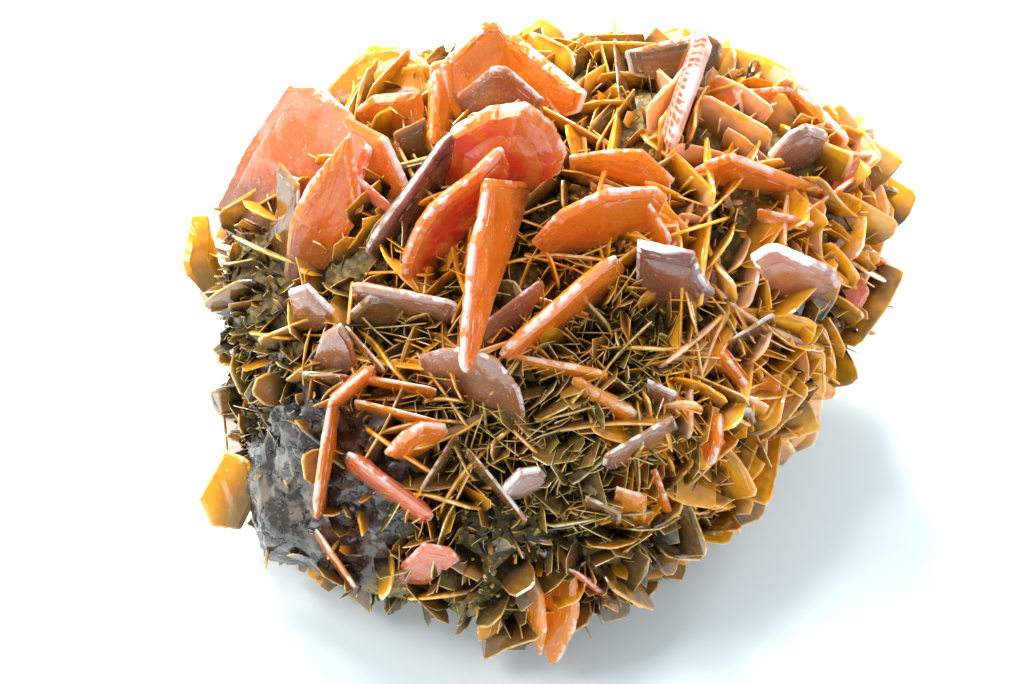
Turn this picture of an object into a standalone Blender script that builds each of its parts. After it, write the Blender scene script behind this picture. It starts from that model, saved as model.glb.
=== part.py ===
"""Wulfenite on matrix: thin tabular crystals, orange to rose and amber, grown on a lump of rock.

Metres, +Z up, origin in the middle of the flat face that the rock rests on. The specimen is read
from one direction, 50 degrees above the table from the front. The rock is a pillow whose outline is
known from there. Each crystal is a flat tablet given by the pixels of two rim ends and of its root,
and by how far each stands out of the pillow toward the viewer.
"""

import math
from typing import NamedTuple

import bmesh
import bpy
import numpy as np

MM = 0.001

# Driving dimensions
SPECIMEN_WIDTH = 88 * MM
CENTRE_HEIGHT = 25 * MM
CENTRE_BACK = 1.5 * MM
ROCK_FRONT = 22 * MM
ROCK_BACK = 31 * MM
CRUST_DEPTH = 1.8 * MM
ROOT_DEPTH = 3 * MM
SOCKET_GAP = 0.3 * MM
BEVELLED_FROM = 1.8
RIM_BEVEL = 0.22

# The crust of small plates, spread over the rock in a spiral
SEED = 5
SMALL_PLATES = 118
GOLDEN_ANGLE = math.pi * (3 - math.sqrt(5))
PLATE_WIDTH = (4.5 * MM, 8.5 * MM)
PLATE_HEIGHT = (3 * MM, 5.5 * MM)
PLATE_THICKNESS = (0.9 * MM, 1.4 * MM)
PLATE_ROOT = 1.5 * MM
PLATE_LEAN = 0.3
PLATE_SCATTER = 0.2
PLATE_PEAK = (-0.15, 0.3)
PLATE_SHOULDERS = ((0.5, 0.6), (-0.42, 0.85))
PLATE_CLEARANCE = 1 * MM
BACK_GROWTH = 1.3
BARE_SHARE = 3

# Lumps of the rock: height, wavelength and phase of its waves
ROCK_SUBDIVISIONS = 4
ROCK_WAVES = ((0.9 * MM, 19 * MM, 0.4), (0.45 * MM, 9 * MM, 1.9))
WAVE_SLANT = 0.4
SLANT_SHARE = 0.7

# Accuracy of the constructions
DEPTH_ROUNDS = 3
NORMAL_STEP = 0.02
MITRE_LIMIT = 0.5
BROAD_FACE_ALIGNMENT = 0.99

# Colour and roughness of each finish
FINISHES = {
    "rock": ((0.13, 0.10, 0.05), 0.7),
    "rose": ((0.80, 0.30, 0.20), 0.3),
    "red": ((0.80, 0.16, 0.03), 0.2),
    "orange": ((0.78, 0.22, 0.02), 0.25),
    "amber": ((0.72, 0.33, 0.02), 0.3),
    "yellow": ((0.85, 0.50, 0.03), 0.3),
    "khaki": ((0.40, 0.24, 0.07), 0.45),
    "lilac": ((0.45, 0.28, 0.24), 0.45),
}

# Direction of view, and the scale of the picture at the rock's centre
VIEW_ELEVATION = math.radians(50)
FOCAL_LENGTH_PX = 2844
SPECIMEN_WIDTH_PX = 712
FRAME_CENTRE_PX = (512, 342)
ROCK_CENTRE_PX = (537, 350)
PX_PER_METRE = SPECIMEN_WIDTH_PX / SPECIMEN_WIDTH
EYE_DISTANCE = FOCAL_LENGTH_PX / PX_PER_METRE

RIGHT = np.array((1.0, 0.0, 0.0))
UP = np.array((0.0, math.sin(VIEW_ELEVATION), math.cos(VIEW_ELEVATION)))
TOWARD = np.array((0.0, -math.cos(VIEW_ELEVATION), math.sin(VIEW_ELEVATION)))
ROCK_CENTRE = np.array((0.0, CENTRE_BACK, CENTRE_HEIGHT))
SIGHT_POINT = (
    ROCK_CENTRE
    - (ROCK_CENTRE_PX[0] - FRAME_CENTRE_PX[0]) / PX_PER_METRE * RIGHT
    + (ROCK_CENTRE_PX[1] - FRAME_CENTRE_PX[1]) / PX_PER_METRE * UP
)
EYE = SIGHT_POINT + EYE_DISTANCE * TOWARD

# The specimen's outline from the viewer, crust included, clockwise from the left
ROCK_OUTLINE_PX = (
    (218, 300), (226, 222), (290, 140), (370, 80), (460, 54), (560, 46), (640, 48), (760, 88),
    (856, 140), (880, 225), (868, 305), (806, 385), (752, 470), (700, 510), (662, 558), (600, 618),
    (520, 630), (430, 606), (330, 592), (262, 556), (238, 480), (238, 390),
)

# The grey face at the lower left, where few small blades grow
BARE_ROCK_PX = ((225, 400), (430, 590))

# Outline of a tablet seen on edge: along the rim from A to B, and from the rim down to the root
BLADE = (
    (-0.5, 0.08), (-0.42, 0), (0.42, 0), (0.5, 0.08), (0.5, 0.8), (0.4, 1), (-0.4, 1), (-0.5, 0.8),
)


class Tablet(NamedTuple):
    """A crystal: rim ends and root as pixels, rises in mm above the rock, thickness in mm."""

    name: str
    finish: str
    a_px: tuple
    a_rise: float
    b_px: tuple
    b_rise: float
    root_px: tuple
    thickness: float
    outline: tuple


CRYSTALS = {
    "rose_fan": (
        Tablet("pink_plate", "rose", (281, 96), 9, (350, 112), 10, (290, 245), 1.8,
               ((290, 85), (318, 85), (350, 112), (372, 150), (350, 215), (300, 245), (232, 238),
                (218, 207), (250, 142))),
        Tablet("orange_prow", "rose", (308, 184), 9, (360, 160), 9, (300, 298), 2.0,
               ((350, 132), (364, 206), (350, 232), (315, 285), (288, 298), (284, 270), (290, 220),
                (308, 184))),
        Tablet("right_flank", "rose", (345, 115), 11, (400, 160), 6, (385, 215), 1.6,
               ((345, 115), (387, 138), (410, 188), (398, 208), (380, 200), (350, 135))),
        Tablet("khaki_plate", "khaki", (279, 161), 8, (300, 185), 6, (285, 300), 0.8,
               ((279, 161), (300, 185), (296, 230), (284, 300), (262, 300), (266, 240), (281, 200))),
    ),
    "red_heart": (
        Tablet("red_plate", "red", (450, 129), 9, (553, 124), 12, (500, 215), 3.0,
               ((450, 129), (490, 107), (527, 103), (553, 124), (567, 153), (560, 172), (530, 190),
                (495, 196), (460, 200), (440, 178))),
        Tablet("grey_ridge", "lilac", (450, 130), 12, (364, 250), 5, (425, 215), 1.6, BLADE),
        Tablet("second_blade", "red", (502, 147), 15, (404, 268), 8, (455, 250), 1.8,
               ((502, 147), (475, 173), (432, 207), (418, 228), (403, 262), (403, 278), (425, 288),
                (455, 260), (490, 215), (508, 165))),
        Tablet("spire", "rose", (486, 180), 16, (464, 362), 13, (528, 270), 1.6,
               ((486, 178), (527, 182), (512, 233), (487, 303), (473, 350), (466, 374), (461, 367),
                (466, 303), (472, 245), (481, 214))),
    ),
    "arch": (
        Tablet("arch_left_leg", "orange", (434, 70), 11, (430, 144), 6, (452, 108), 1.6, BLADE),
        Tablet("arch_plate", "orange", (441, 63), 11, (506, 34), 12, (490, 130), 1.6,
               ((441, 63), (483, 21), (496, 21), (506, 34), (540, 66), (520, 110), (460, 125), (445, 100))),
        Tablet("arch_right", "orange", (506, 34), 12, (587, 93), 8, (535, 130), 1.6,
               ((506, 34), (516, 34), (587, 93), (580, 112), (545, 125), (505, 80))),
        Tablet("inner_plate", "lilac", (480, 75), 9, (520, 78), 9, (500, 140), 1.2,
               ((493, 66), (507, 67), (545, 100), (540, 125), (490, 135), (455, 110), (457, 95))),
        Tablet("brown_plate", "khaki", (393, 133), 6, (426, 117), 7, (412, 180), 1.0,
               ((393, 133), (426, 117), (432, 160), (415, 165), (396, 150))),
    ),
    "far_left_plate": (
        Tablet("left_yellow", "yellow", (191, 216), 3, (214, 214), 2, (226, 285), 1.4,
               ((191, 216), (208, 215), (219, 262), (232, 290), (210, 300), (186, 275), (182, 262))),
    ),
    "back_yellow_plate": (
        Tablet("back_yellow", "yellow", (345, 68), 5, (428, 62), 5, (380, 115), 1.5,
               ((327, 89), (345, 68), (370, 46), (400, 45), (428, 62), (430, 95), (380, 110), (330, 105))),
    ),
    "back_orange_plate": (
        Tablet("back_orange", "orange", (373, 95), 6, (423, 91), 5, (398, 142), 1.4,
               ((354, 110), (373, 95), (421, 91), (425, 108), (421, 126), (387, 138), (362, 124))),
    ),
    "long_blade": (
        Tablet("long_blade", "orange", (498, 354), 9, (614, 254), 12, (572, 318), 1.6, BLADE),
    ),
    "violet_plate": (
        Tablet("violet_plate", "lilac", (632, 238), 9, (695, 252), 9, (670, 325), 2.0,
               ((637, 240), (695, 252), (702, 275), (716, 292), (690, 312), (657, 310), (636, 290))),
    ),
    "golden_terrace": (
        Tablet("golden_band", "amber", (573, 376), 6, (638, 413), 6, (600, 412), 1.5, BLADE),
    ),
    "frosted_slab": (
        Tablet("frosted_slab", "lilac", (480, 326), 7, (541, 281), 8, (515, 350), 1.0,
               ((480, 326), (539, 280), (545, 285), (520, 325), (497, 355), (478, 350))),
    ),
    "low_frosted_plate": (
        Tablet("low_frosted", "lilac", (430, 350), 7, (520, 389), 7, (465, 420), 1.0,
               ((419, 355), (444, 348), (476, 351), (497, 359), (520, 389), (526, 415), (515, 425),
                (485, 415), (450, 395), (420, 372))),
    ),
    "orange_bow": (
        Tablet("arch_orange", "orange", (559, 212), 9, (658, 187), 10, (600, 260), 1.8,
               ((531, 242), (559, 212), (605, 190), (658, 187), (668, 196), (655, 222), (600, 240),
                (550, 258))),
        Tablet("orange_fin", "orange", (648, 200), 9, (672, 240), 7, (650, 245), 1.2, BLADE),
    ),
    "pillar_gable": (
        Tablet("pillar", "rose", (706, 38), 15, (669, 150), 10, (684, 78), 2.4, BLADE),
        Tablet("roof_plate", "khaki", (625, 51), 8, (704, 32), 9, (680, 105), 1.4,
               ((625, 51), (704, 32), (722, 42), (720, 70), (680, 85), (630, 75))),
    ),
    "orange_face": (
        Tablet("orange_face", "orange", (712, 71), 8, (740, 95), 6, (705, 135), 1.4,
               ((716, 74), (735, 84), (742, 100), (726, 115), (706, 125), (702, 104))),
    ),
    "frame_plate": (
        Tablet("frame_plate", "orange", (797, 86), 10, (849, 137), 9, (815, 140), 1.8, BLADE),
    ),
    "right_face": (
        Tablet("right_face", "rose", (858, 157), 7, (874, 190), 5, (830, 225), 1.4,
               ((858, 157), (874, 190), (867, 220), (844, 242), (824, 212), (839, 172))),
    ),
    "round_plate": (
        Tablet("round_plate", "lilac", (783, 136), 10, (827, 131), 10, (800, 176), 1.6,
               ((768, 155), (788, 133), (806, 124), (826, 131), (829, 142), (806, 168), (775, 172))),
    ),
    "gold_band": (
        Tablet("gold_band", "amber", (600, 151), 7, (660, 165), 7, (622, 190), 1.4,
               ((569, 156), (615, 150), (643, 150), (675, 180), (663, 192), (607, 182), (569, 172))),
    ),
    "orange_band": (
        Tablet("orange_band", "orange", (690, 160), 7, (800, 180), 7, (752, 192), 1.4,
               ((688, 172), (712, 160), (730, 154), (775, 171), (826, 189), (819, 198), (780, 192),
                (724, 182), (690, 187))),
    ),
    "rose_shelf": (
        Tablet("pink_right", "rose", (765, 248), 8, (834, 270), 7, (793, 306), 1.8,
               ((765, 246), (778, 244), (836, 270), (841, 285), (800, 306), (772, 292), (750, 256))),
    ),
    "flat_blade_steps": (
        Tablet("flat_blade", "lilac", (352, 282), 8, (458, 302), 9, (402, 318), 1.3, BLADE),
        Tablet("olive_plate", "khaki", (345, 305), 5, (405, 298), 5, (375, 345), 1.2,
               ((346, 316), (370, 293), (410, 300), (395, 325), (358, 330))),
    ),
    "lilac_lump": (
        Tablet("lilac_lump", "lilac", (288, 290), 7, (330, 300), 7, (310, 345), 1.4,
               ((288, 290), (308, 284), (335, 311), (321, 330), (298, 328))),
    ),
    "crescents": (
        Tablet("crescent_upper", "orange", (328, 402), 8, (372, 365), 9, (356, 392), 1.3, BLADE),
        Tablet("crescent_lower", "orange", (331, 396), 8, (314, 518), 6, (330, 462), 1.1, BLADE),
    ),
    "brown_frosted_plate": (
        Tablet("brown_frosted", "lilac", (322, 334), 6, (354, 341), 6, (340, 395), 1.4,
               ((311, 366), (322, 334), (341, 323), (352, 341), (358, 364), (336, 380))),
    ),
    "orange_leaf": (
        Tablet("orange_leaf", "orange", (385, 450), 6, (446, 426), 6, (414, 458), 1.5,
               ((384, 453), (400, 436), (423, 423), (446, 425), (448, 431), (421, 450), (400, 460))),
    ),
    "pink_lath": (
        Tablet("pink_lath", "rose", (348, 451), 6, (434, 515), 6, (386, 495), 1.5, BLADE),
    ),
    "left_amber_plate": (
        Tablet("left_amber", "amber", (205, 486), 0, (226, 449), 2, (255, 500), 1.3,
               ((226, 449), (198, 499), (212, 527), (240, 530), (255, 500), (250, 460))),
    ),
    "pinkish_plate": (
        Tablet("pinkish_plate", "rose", (420, 545), 5, (460, 559), 4, (425, 595), 1.0,
               ((423, 543), (451, 548), (460, 559), (428, 582), (398, 582), (400, 565))),
    ),
    "bright_facet": (
        Tablet("bright_facet", "lilac", (502, 489), 8, (540, 468), 9, (523, 498), 1.4,
               ((502, 489), (519, 471), (540, 468), (546, 474), (539, 490), (507, 497))),
    ),
    "foot_plates": (
        Tablet("bottom_big", "amber", (548, 660), 4, (578, 615), 5, (552, 545), 1.4,
               ((542, 571), (551, 553), (562, 549), (576, 572), (579, 611), (574, 632), (559, 662),
                (551, 665), (544, 650), (541, 610))),
        Tablet("bottom_left", "amber", (541, 656), 3, (545, 615), 6, (520, 560), 1.2,
               ((522, 564), (534, 576), (543, 597), (546, 630), (541, 656), (535, 647), (527, 623),
                (530, 597))),
    ),
    "peach_plate": (
        Tablet("peach_plate", "yellow", (478, 640), 3, (503, 632), 4, (485, 595), 1.2,
               ((475, 605), (497, 612), (505, 630), (490, 646), (478, 640))),
    ),
    "striped_plate": (
        Tablet("striped_plate", "lilac", (647, 379), 5, (678, 393), 5, (660, 430), 1.2,
               ((647, 379), (678, 393), (675, 418), (648, 412))),
    ),
    "beige_plate": (
        Tablet("beige_plate", "lilac", (605, 458), 6, (673, 420), 6, (641, 462), 1.0,
               ((605, 455), (639, 435), (673, 416), (678, 428), (652, 457), (618, 473), (602, 465))),
    ),
    "tan_plate": (
        Tablet("tan_plate", "khaki", (721, 410), 5, (755, 412), 5, (735, 460), 1.4,
               ((727, 411), (752, 408), (757, 424), (737, 442), (724, 444))),
    ),
    "orange_post": (
        Tablet("orange_post", "orange", (719, 413), 7, (712, 462), 6, (700, 440), 1.3,
               ((704, 416), (721, 413), (721, 440), (714, 463), (700, 473), (699, 440))),
    ),
    "rim_amber_plates": (
        Tablet("rim_amber", "amber", (780, 376), 5, (780, 421), 4, (745, 415), 1.4,
               ((748, 380), (782, 374), (780, 421), (752, 446), (738, 420))),
        Tablet("rim_corner", "yellow", (796, 450), 1, (777, 421), 3, (755, 455), 1.2,
               ((763, 438), (777, 421), (796, 450), (783, 465), (758, 460))),
        Tablet("orange_stub", "orange", (722, 350), 6, (751, 389), 5, (730, 378), 1.4, BLADE),
    ),
    "rim_yellow_plate": (
        Tablet("rim_yellow", "yellow", (814, 355), 2, (815, 399), 1, (785, 385), 1.2,
               ((798, 364), (814, 353), (815, 399), (797, 400), (790, 385))),
    ),
    "rim_pink_plate": (
        Tablet("rim_pink", "rose", (871, 268), 3, (856, 320), 3, (830, 308), 1.4,
               ((831, 288), (862, 272), (870, 292), (854, 322), (830, 330))),
    ),
    "rim_tip": (
        Tablet("rim_tip", "orange", (893, 263), 0, (871, 246), 1, (852, 252), 1.2,
               ((852, 246), (873, 250), (893, 263), (891, 278), (866, 268), (850, 258))),
    ),
}

# Thin blades of the crust, fused with the rock
CRUST = (
    Tablet("flank_blade", "rose", (341, 161), 9, (394, 207), 6, (360, 200), 1.0, BLADE),
    Tablet("needle", "khaki", (613, 38), 9, (619, 100), 6, (628, 72), 0.7, BLADE),
    Tablet("frame_side", "orange", (737, 90), 8, (792, 86), 10, (770, 125), 1.2, BLADE),
    Tablet("band_blade", "orange", (757, 208), 7, (814, 222), 6, (785, 232), 1.3, BLADE),
    Tablet("right_blade", "orange", (805, 212), 7, (855, 176), 6, (830, 205), 1.0, BLADE),
    Tablet("brown_blade", "khaki", (346, 325), 7, (386, 370), 6, (360, 355), 1.0, BLADE),
    Tablet("brown_fin", "khaki", (302, 371), 5, (350, 375), 6, (327, 392), 0.9, BLADE),
    Tablet("thin_cross", "amber", (354, 374), 6, (437, 388), 6, (395, 392), 0.9, BLADE),
    Tablet("thin_lower", "amber", (354, 399), 6, (442, 421), 6, (398, 422), 0.9, BLADE),
    Tablet("lower_blade", "orange", (316, 528), 5, (356, 587), 5, (334, 562), 1.0, BLADE),
    Tablet("steep_blade", "khaki", (468, 447), 8, (528, 520), 6, (492, 495), 0.9, BLADE),
    Tablet("cross_blade", "khaki", (419, 490), 5, (455, 433), 6, (447, 470), 0.9, BLADE),
    Tablet("pink_foot_blade", "rose", (578, 572), 6, (620, 606), 4, (588, 585), 1.0, BLADE),
    Tablet("golden_blade", "amber", (508, 353), 6, (608, 372), 6, (560, 385), 1.3, BLADE),
    Tablet("low_orange", "orange", (656, 467), 5, (673, 516), 5, (652, 500), 1.2, BLADE),
    Tablet("low_tan", "khaki", (585, 495), 5, (622, 514), 5, (600, 530), 1.2,
           ((585, 495), (622, 512), (620, 528), (602, 527), (583, 511))),
    Tablet("clear_tan", "amber", (620, 488), 5, (647, 497), 5, (628, 545), 1.2,
           ((616, 486), (647, 495), (646, 523), (627, 530), (612, 510))),
    Tablet("tan_blade", "khaki", (727, 341), 5, (774, 312), 5, (755, 340), 1.1, BLADE),
)


def picture_point(pixel, depth):
    """World point seen at a pixel, this far toward the viewer from the plane of the rock's centre."""
    across = (pixel[0] - FRAME_CENTRE_PX[0]) / PX_PER_METRE
    up = (FRAME_CENTRE_PX[1] - pixel[1]) / PX_PER_METRE
    return SIGHT_POINT + (across * RIGHT + up * UP) * (1 - depth / EYE_DISTANCE) + depth * TOWARD


def pixel_of(point):
    """The pixel at which a world point is seen."""
    offset = point - EYE
    scale = -FOCAL_LENGTH_PX / (offset @ TOWARD)
    return FRAME_CENTRE_PX[0] + offset @ RIGHT * scale, FRAME_CENTRE_PX[1] - offset @ UP * scale


def outline_table():
    """Angle and distance of each outline point from the rock's centre, in the picture plane."""
    offsets = [picture_point(pixel, 0) - ROCK_CENTRE for pixel in ROCK_OUTLINE_PX]
    angles = [math.atan2(offset @ UP, offset @ RIGHT) for offset in offsets]
    return angles, [math.hypot(offset @ UP, offset @ RIGHT) for offset in offsets]


OUTLINE_ANGLES, OUTLINE_REACH = outline_table()


def reach(angle):
    """Distance from the rock's centre to the specimen's outline at an angle in the picture plane."""
    return np.interp(angle, OUTLINE_ANGLES, OUTLINE_REACH, period=2 * math.pi)


def surface_depth(pixel):
    """Depth of the pillow that the crust fills at a pixel of its front, and 0 outside its outline."""
    depth = 0.0
    for _ in range(DEPTH_ROUNDS):
        offset = picture_point(pixel, depth) - ROCK_CENTRE
        across, up = offset @ RIGHT, offset @ UP
        fill = math.hypot(across, up) / reach(math.atan2(up, across))
        depth = ROCK_FRONT * math.sqrt(max(0.0, 1 - fill * fill))
    return depth


def rock_radius(directions):
    """Distance from the rock's centre to the rock under its crust along unit directions."""
    across, up, toward = directions @ RIGHT, directions @ UP, directions @ TOWARD
    side = np.hypot(across, up) / (reach(np.arctan2(up, across)) - CRUST_DEPTH)
    depth = toward / np.where(toward > 0, ROCK_FRONT, ROCK_BACK)
    return 1 / np.sqrt(side * side + depth * depth)


def relief(points):
    """Height of the rock's lumps and hollows at world points, from crossing waves of two lengths."""
    x, y, z = points.T
    height = np.zeros(len(points))
    for size, length, phase in ROCK_WAVES:
        wave = 2 * math.pi / length
        height += size * np.sin(wave * x + phase) * np.cos(wave * y - phase)
        height += size * SLANT_SHARE * np.sin(wave * (z + WAVE_SLANT * x) + 2 * phase)
    return height


def rock_points(directions):
    """World points of the rock's surface along unit directions from its centre."""
    pillow = ROCK_CENTRE + directions * rock_radius(directions)[:, None]
    return pillow + directions * relief(pillow)[:, None]


def unit(vector):
    """The vector at length one."""
    return vector / np.linalg.norm(vector)


def rock_normal(direction):
    """Outward normal of the rock where a direction meets it, from two short steps to its sides."""
    side = unit(np.cross(direction, RIGHT))
    other = np.cross(direction, side)
    steps = np.array([direction + NORMAL_STEP * step for step in (side, -side, other, -other)])
    ahead, behind, left, right = rock_points(steps / np.linalg.norm(steps, axis=1)[:, None])
    normal = unit(np.cross(ahead - behind, left - right))
    return normal if normal @ direction > 0 else -normal


def anchors(tablet):
    """The two rim ends and the root of a tablet, as world points."""
    ends = (
        (tablet.a_px, tablet.a_rise * MM),
        (tablet.b_px, tablet.b_rise * MM),
        (tablet.root_px, -ROOT_DEPTH),
    )
    return [picture_point(pixel, surface_depth(pixel) + rise) for pixel, rise in ends]


def tablet_plane(tablet):
    """Corner points and unit normal of a tablet: a blade on its anchors, or sight lines cut there."""
    a, b, root = anchors(tablet)
    normal = unit(np.cross(b - a, root - a))
    if tablet.outline is BLADE:
        middle = (a + b) / 2
        corners = [middle + s * (b - a) + t * (root - middle) for s, t in BLADE]
        return np.array(corners), normal
    rays = [picture_point(pixel, 0) - EYE for pixel in tablet.outline]
    corners = [EYE + ray * ((a - EYE) @ normal) / (ray @ normal) for ray in rays]
    return np.array(corners), normal


def widened(corners, normal, margin):
    """The outline moved outward by a margin, with mitred corners."""
    edges = np.roll(corners, -1, axis=0) - corners
    edges /= np.linalg.norm(edges, axis=1)[:, None]
    outward = np.cross(edges, normal)
    if (outward * (corners - corners.mean(axis=0))).sum() < 0:
        outward = -outward
    before = np.roll(outward, 1, axis=0)
    mitre = (outward + before) / (1 + (outward * before).sum(axis=1))[:, None].clip(MITRE_LIMIT)
    return corners + margin * mitre


def solid(name, corners, normal, thickness, bevel=0.0):
    """A flat outline extruded both ways from its plane, with a bevelled rim where one is asked for."""
    half = thickness / 2 * normal
    shape = bmesh.new()
    face = shape.faces.new([shape.verts.new(corner - half) for corner in corners])
    grown = bmesh.ops.extrude_face_region(shape, geom=[face])["geom"]
    moved = [item for item in grown if isinstance(item, bmesh.types.BMVert)]
    bmesh.ops.translate(shape, verts=moved, vec=2 * half)
    bmesh.ops.recalc_face_normals(shape, faces=shape.faces)
    if bevel:
        broad = [side for side in shape.faces if abs(side.normal.dot(normal)) > BROAD_FACE_ALIGNMENT]
        rim = {edge for side in broad for edge in side.edges}
        bmesh.ops.bevel(shape, geom=list(rim), offset=bevel, segments=1, affect="EDGES")
    return object_of(name, shape)


def object_of(name, shape):
    """Puts a bmesh into the scene as a named object."""
    mesh = bpy.data.meshes.new(name)
    shape.to_mesh(mesh)
    shape.free()
    obj = bpy.data.objects.new(name, mesh)
    bpy.context.scene.collection.objects.link(obj)
    return obj


def tablet_object(tablet, margin=0.0):
    """A large crystal, or the space that it takes up with a margin all round."""
    corners, normal = tablet_plane(tablet)
    if margin:
        corners = widened(corners, normal, margin)
    thickness = tablet.thickness * MM
    bevel = thickness * RIM_BEVEL if tablet.thickness >= BEVELLED_FROM and not margin else 0
    return solid(tablet.name, corners, normal, thickness + 2 * margin, bevel)


def combined(obj, operation, others):
    """Joins or cuts an object with others by a Boolean, which becomes its mesh; the others go."""
    group = bpy.data.collections.new(f"{obj.name}_{operation.lower()}")
    bpy.context.scene.collection.children.link(group)
    for other in others:
        group.objects.link(other)
    modifier = obj.modifiers.new(operation.title(), "BOOLEAN")
    modifier.operation = operation
    modifier.operand_type = "COLLECTION"
    modifier.collection = group
    modifier.solver = "EXACT"
    bpy.context.view_layer.update()
    graph = bpy.context.evaluated_depsgraph_get()
    mesh = bpy.data.meshes.new_from_object(obj.evaluated_get(graph))
    obj.modifiers.clear()
    obj.data = mesh
    for other in others:
        bpy.data.objects.remove(other)
    bpy.data.collections.remove(group)
    return obj


def rock_object():
    """The bare rock: a sphere drawn out to the rock's surface and cut off flat where it rests."""
    shape = bmesh.new()
    bmesh.ops.create_icosphere(shape, subdivisions=ROCK_SUBDIVISIONS, radius=1.0)
    shape.verts.ensure_lookup_table()
    directions = np.array([vert.co[:] for vert in shape.verts])
    directions /= np.linalg.norm(directions, axis=1)[:, None]
    for vert, point in zip(shape.verts, rock_points(directions)):
        vert.co = point
    everything = shape.verts[:] + shape.edges[:] + shape.faces[:]
    cut = bmesh.ops.bisect_plane(
        shape, geom=everything, plane_co=(0, 0, 0), plane_no=(0, 0, 1), clear_inner=True
    )
    edges = [item for item in cut["geom_cut"] if isinstance(item, bmesh.types.BMEdge)]
    bmesh.ops.contextual_create(shape, geom=edges)
    bmesh.ops.recalc_face_normals(shape, faces=shape.faces)
    return object_of("matrix", shape)


def is_bare(point):
    """Whether a point lies on the grey face at the lower left, as the viewer sees it."""
    (left, top), (right, bottom) = BARE_ROCK_PX
    x, y = pixel_of(point)
    return (point - ROCK_CENTRE) @ TOWARD > 0 and left < x < right and top < y < bottom


def small_plate(index, rng):
    """A small tablet standing on the rock, leaning at random, or None on bare rock and near the base."""
    height = 1 - 2 * (index + 0.5) / SMALL_PLATES
    turn = index * GOLDEN_ANGLE + rng.uniform(-PLATE_SCATTER, PLATE_SCATTER)
    level = math.sqrt(1 - height * height)
    direction = np.array((level * math.cos(turn), level * math.sin(turn), height))
    foot = rock_points(direction[None])[0]
    lean = rng.normal(0, PLATE_LEAN, 3)
    stem = unit(rock_normal(direction) + lean)
    side = unit(np.cross(stem, rng.normal(0, 1, 3)))
    grown = BACK_GROWTH if direction @ TOWARD < 0 else 1
    width = rng.uniform(*PLATE_WIDTH) * grown
    tall = rng.uniform(*PLATE_HEIGHT) * grown
    (right, right_height), (left, left_height) = PLATE_SHOULDERS
    form = (
        (-width / 2, -PLATE_ROOT),
        (width / 2, -PLATE_ROOT),
        (right * width, right_height * tall),
        (rng.uniform(*PLATE_PEAK) * width, tall),
        (left * width, left_height * tall),
    )
    corners = np.array([foot + across * side + up * stem for across, up in form])
    thickness = rng.uniform(*PLATE_THICKNESS)
    if corners[:, 2].min() < PLATE_CLEARANCE or (is_bare(foot) and index % BARE_SHARE):
        return None
    return solid(f"plate_{index}", corners, np.cross(side, stem), thickness)


def keep_largest_piece(obj):
    """Deletes every piece of the mesh that isn't joined to the largest one."""
    shape = bmesh.new()
    shape.from_mesh(obj.data)
    left = set(shape.verts)
    pieces = []
    while left:
        front = [left.pop()]
        piece = set(front)
        while front:
            vert = front.pop()
            around = {edge.other_vert(vert) for edge in vert.link_edges} & left
            left -= around
            piece |= around
            front.extend(around)
        pieces.append(piece)
    pieces.sort(key=len)
    loose = [vert for piece in pieces[:-1] for vert in piece]
    bmesh.ops.delete(shape, geom=loose, context="VERTS")
    shape.to_mesh(obj.data)
    shape.free()


def matrix_object():
    """The rock with its crust of small plates, and a socket for each large crystal."""
    rng = np.random.default_rng(SEED)
    plates = [small_plate(index, rng) for index in range(SMALL_PLATES)]
    grown = [plate for plate in plates if plate] + [tablet_object(tablet) for tablet in CRUST]
    matrix = combined(rock_object(), "UNION", grown)
    large = [tablet for cluster in CRYSTALS.values() for tablet in cluster]
    combined(matrix, "DIFFERENCE", [tablet_object(tablet, SOCKET_GAP) for tablet in large])
    keep_largest_piece(matrix)
    return matrix


def cluster_object(name, tablets):
    """Crystals that have grown through one another, joined into one solid."""
    first, *rest = [tablet_object(tablet) for tablet in tablets]
    if rest:
        combined(first, "UNION", rest)
    first.name = name
    first.data.name = name
    return first


def give_material(obj, finish):
    """One plain material in the colour of a finish."""
    colour, roughness = FINISHES[finish]
    material = bpy.data.materials.new(obj.name)
    material.use_nodes = True
    shader = material.node_tree.nodes["Principled BSDF"]
    shader.inputs["Base Color"].default_value = (*colour, 1)
    shader.inputs["Roughness"].default_value = roughness
    shader.inputs["Metallic"].default_value = 0
    obj.data.materials.clear()
    obj.data.materials.append(material)


def clear_scene():
    """Removes every object that the scene starts with."""
    for obj in list(bpy.data.objects):
        bpy.data.objects.remove(obj)


def main():
    """Builds the matrix and the large crystals on it."""
    clear_scene()
    give_material(matrix_object(), "rock")
    for name, tablets in CRYSTALS.items():
        give_material(cluster_object(name, tablets), tablets[0].finish)


if __name__ == "__main__":
    main()
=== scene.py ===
"""Wulfenite on matrix: the looks of the specimen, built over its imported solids.

Thin tabular crystals, rose to red-orange, amber and olive, stand on a lump of dark rock that is
crusted with plates, blades and fine grains. Metres, +Z up, in the frame of the solids. The specimen
is read from one direction, 50 degrees above the table from the front, so a crystal's place is given
by pixels of that view and by how far it stands out of the rock's pillow toward the viewer.
"""

from __future__ import annotations

import logging
import math
from dataclasses import dataclass, field
from enum import Enum
from functools import cached_property
from typing import Any, Callable, Sequence

import bpy
import numpy as np
from mathutils import Matrix, Vector

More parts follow.
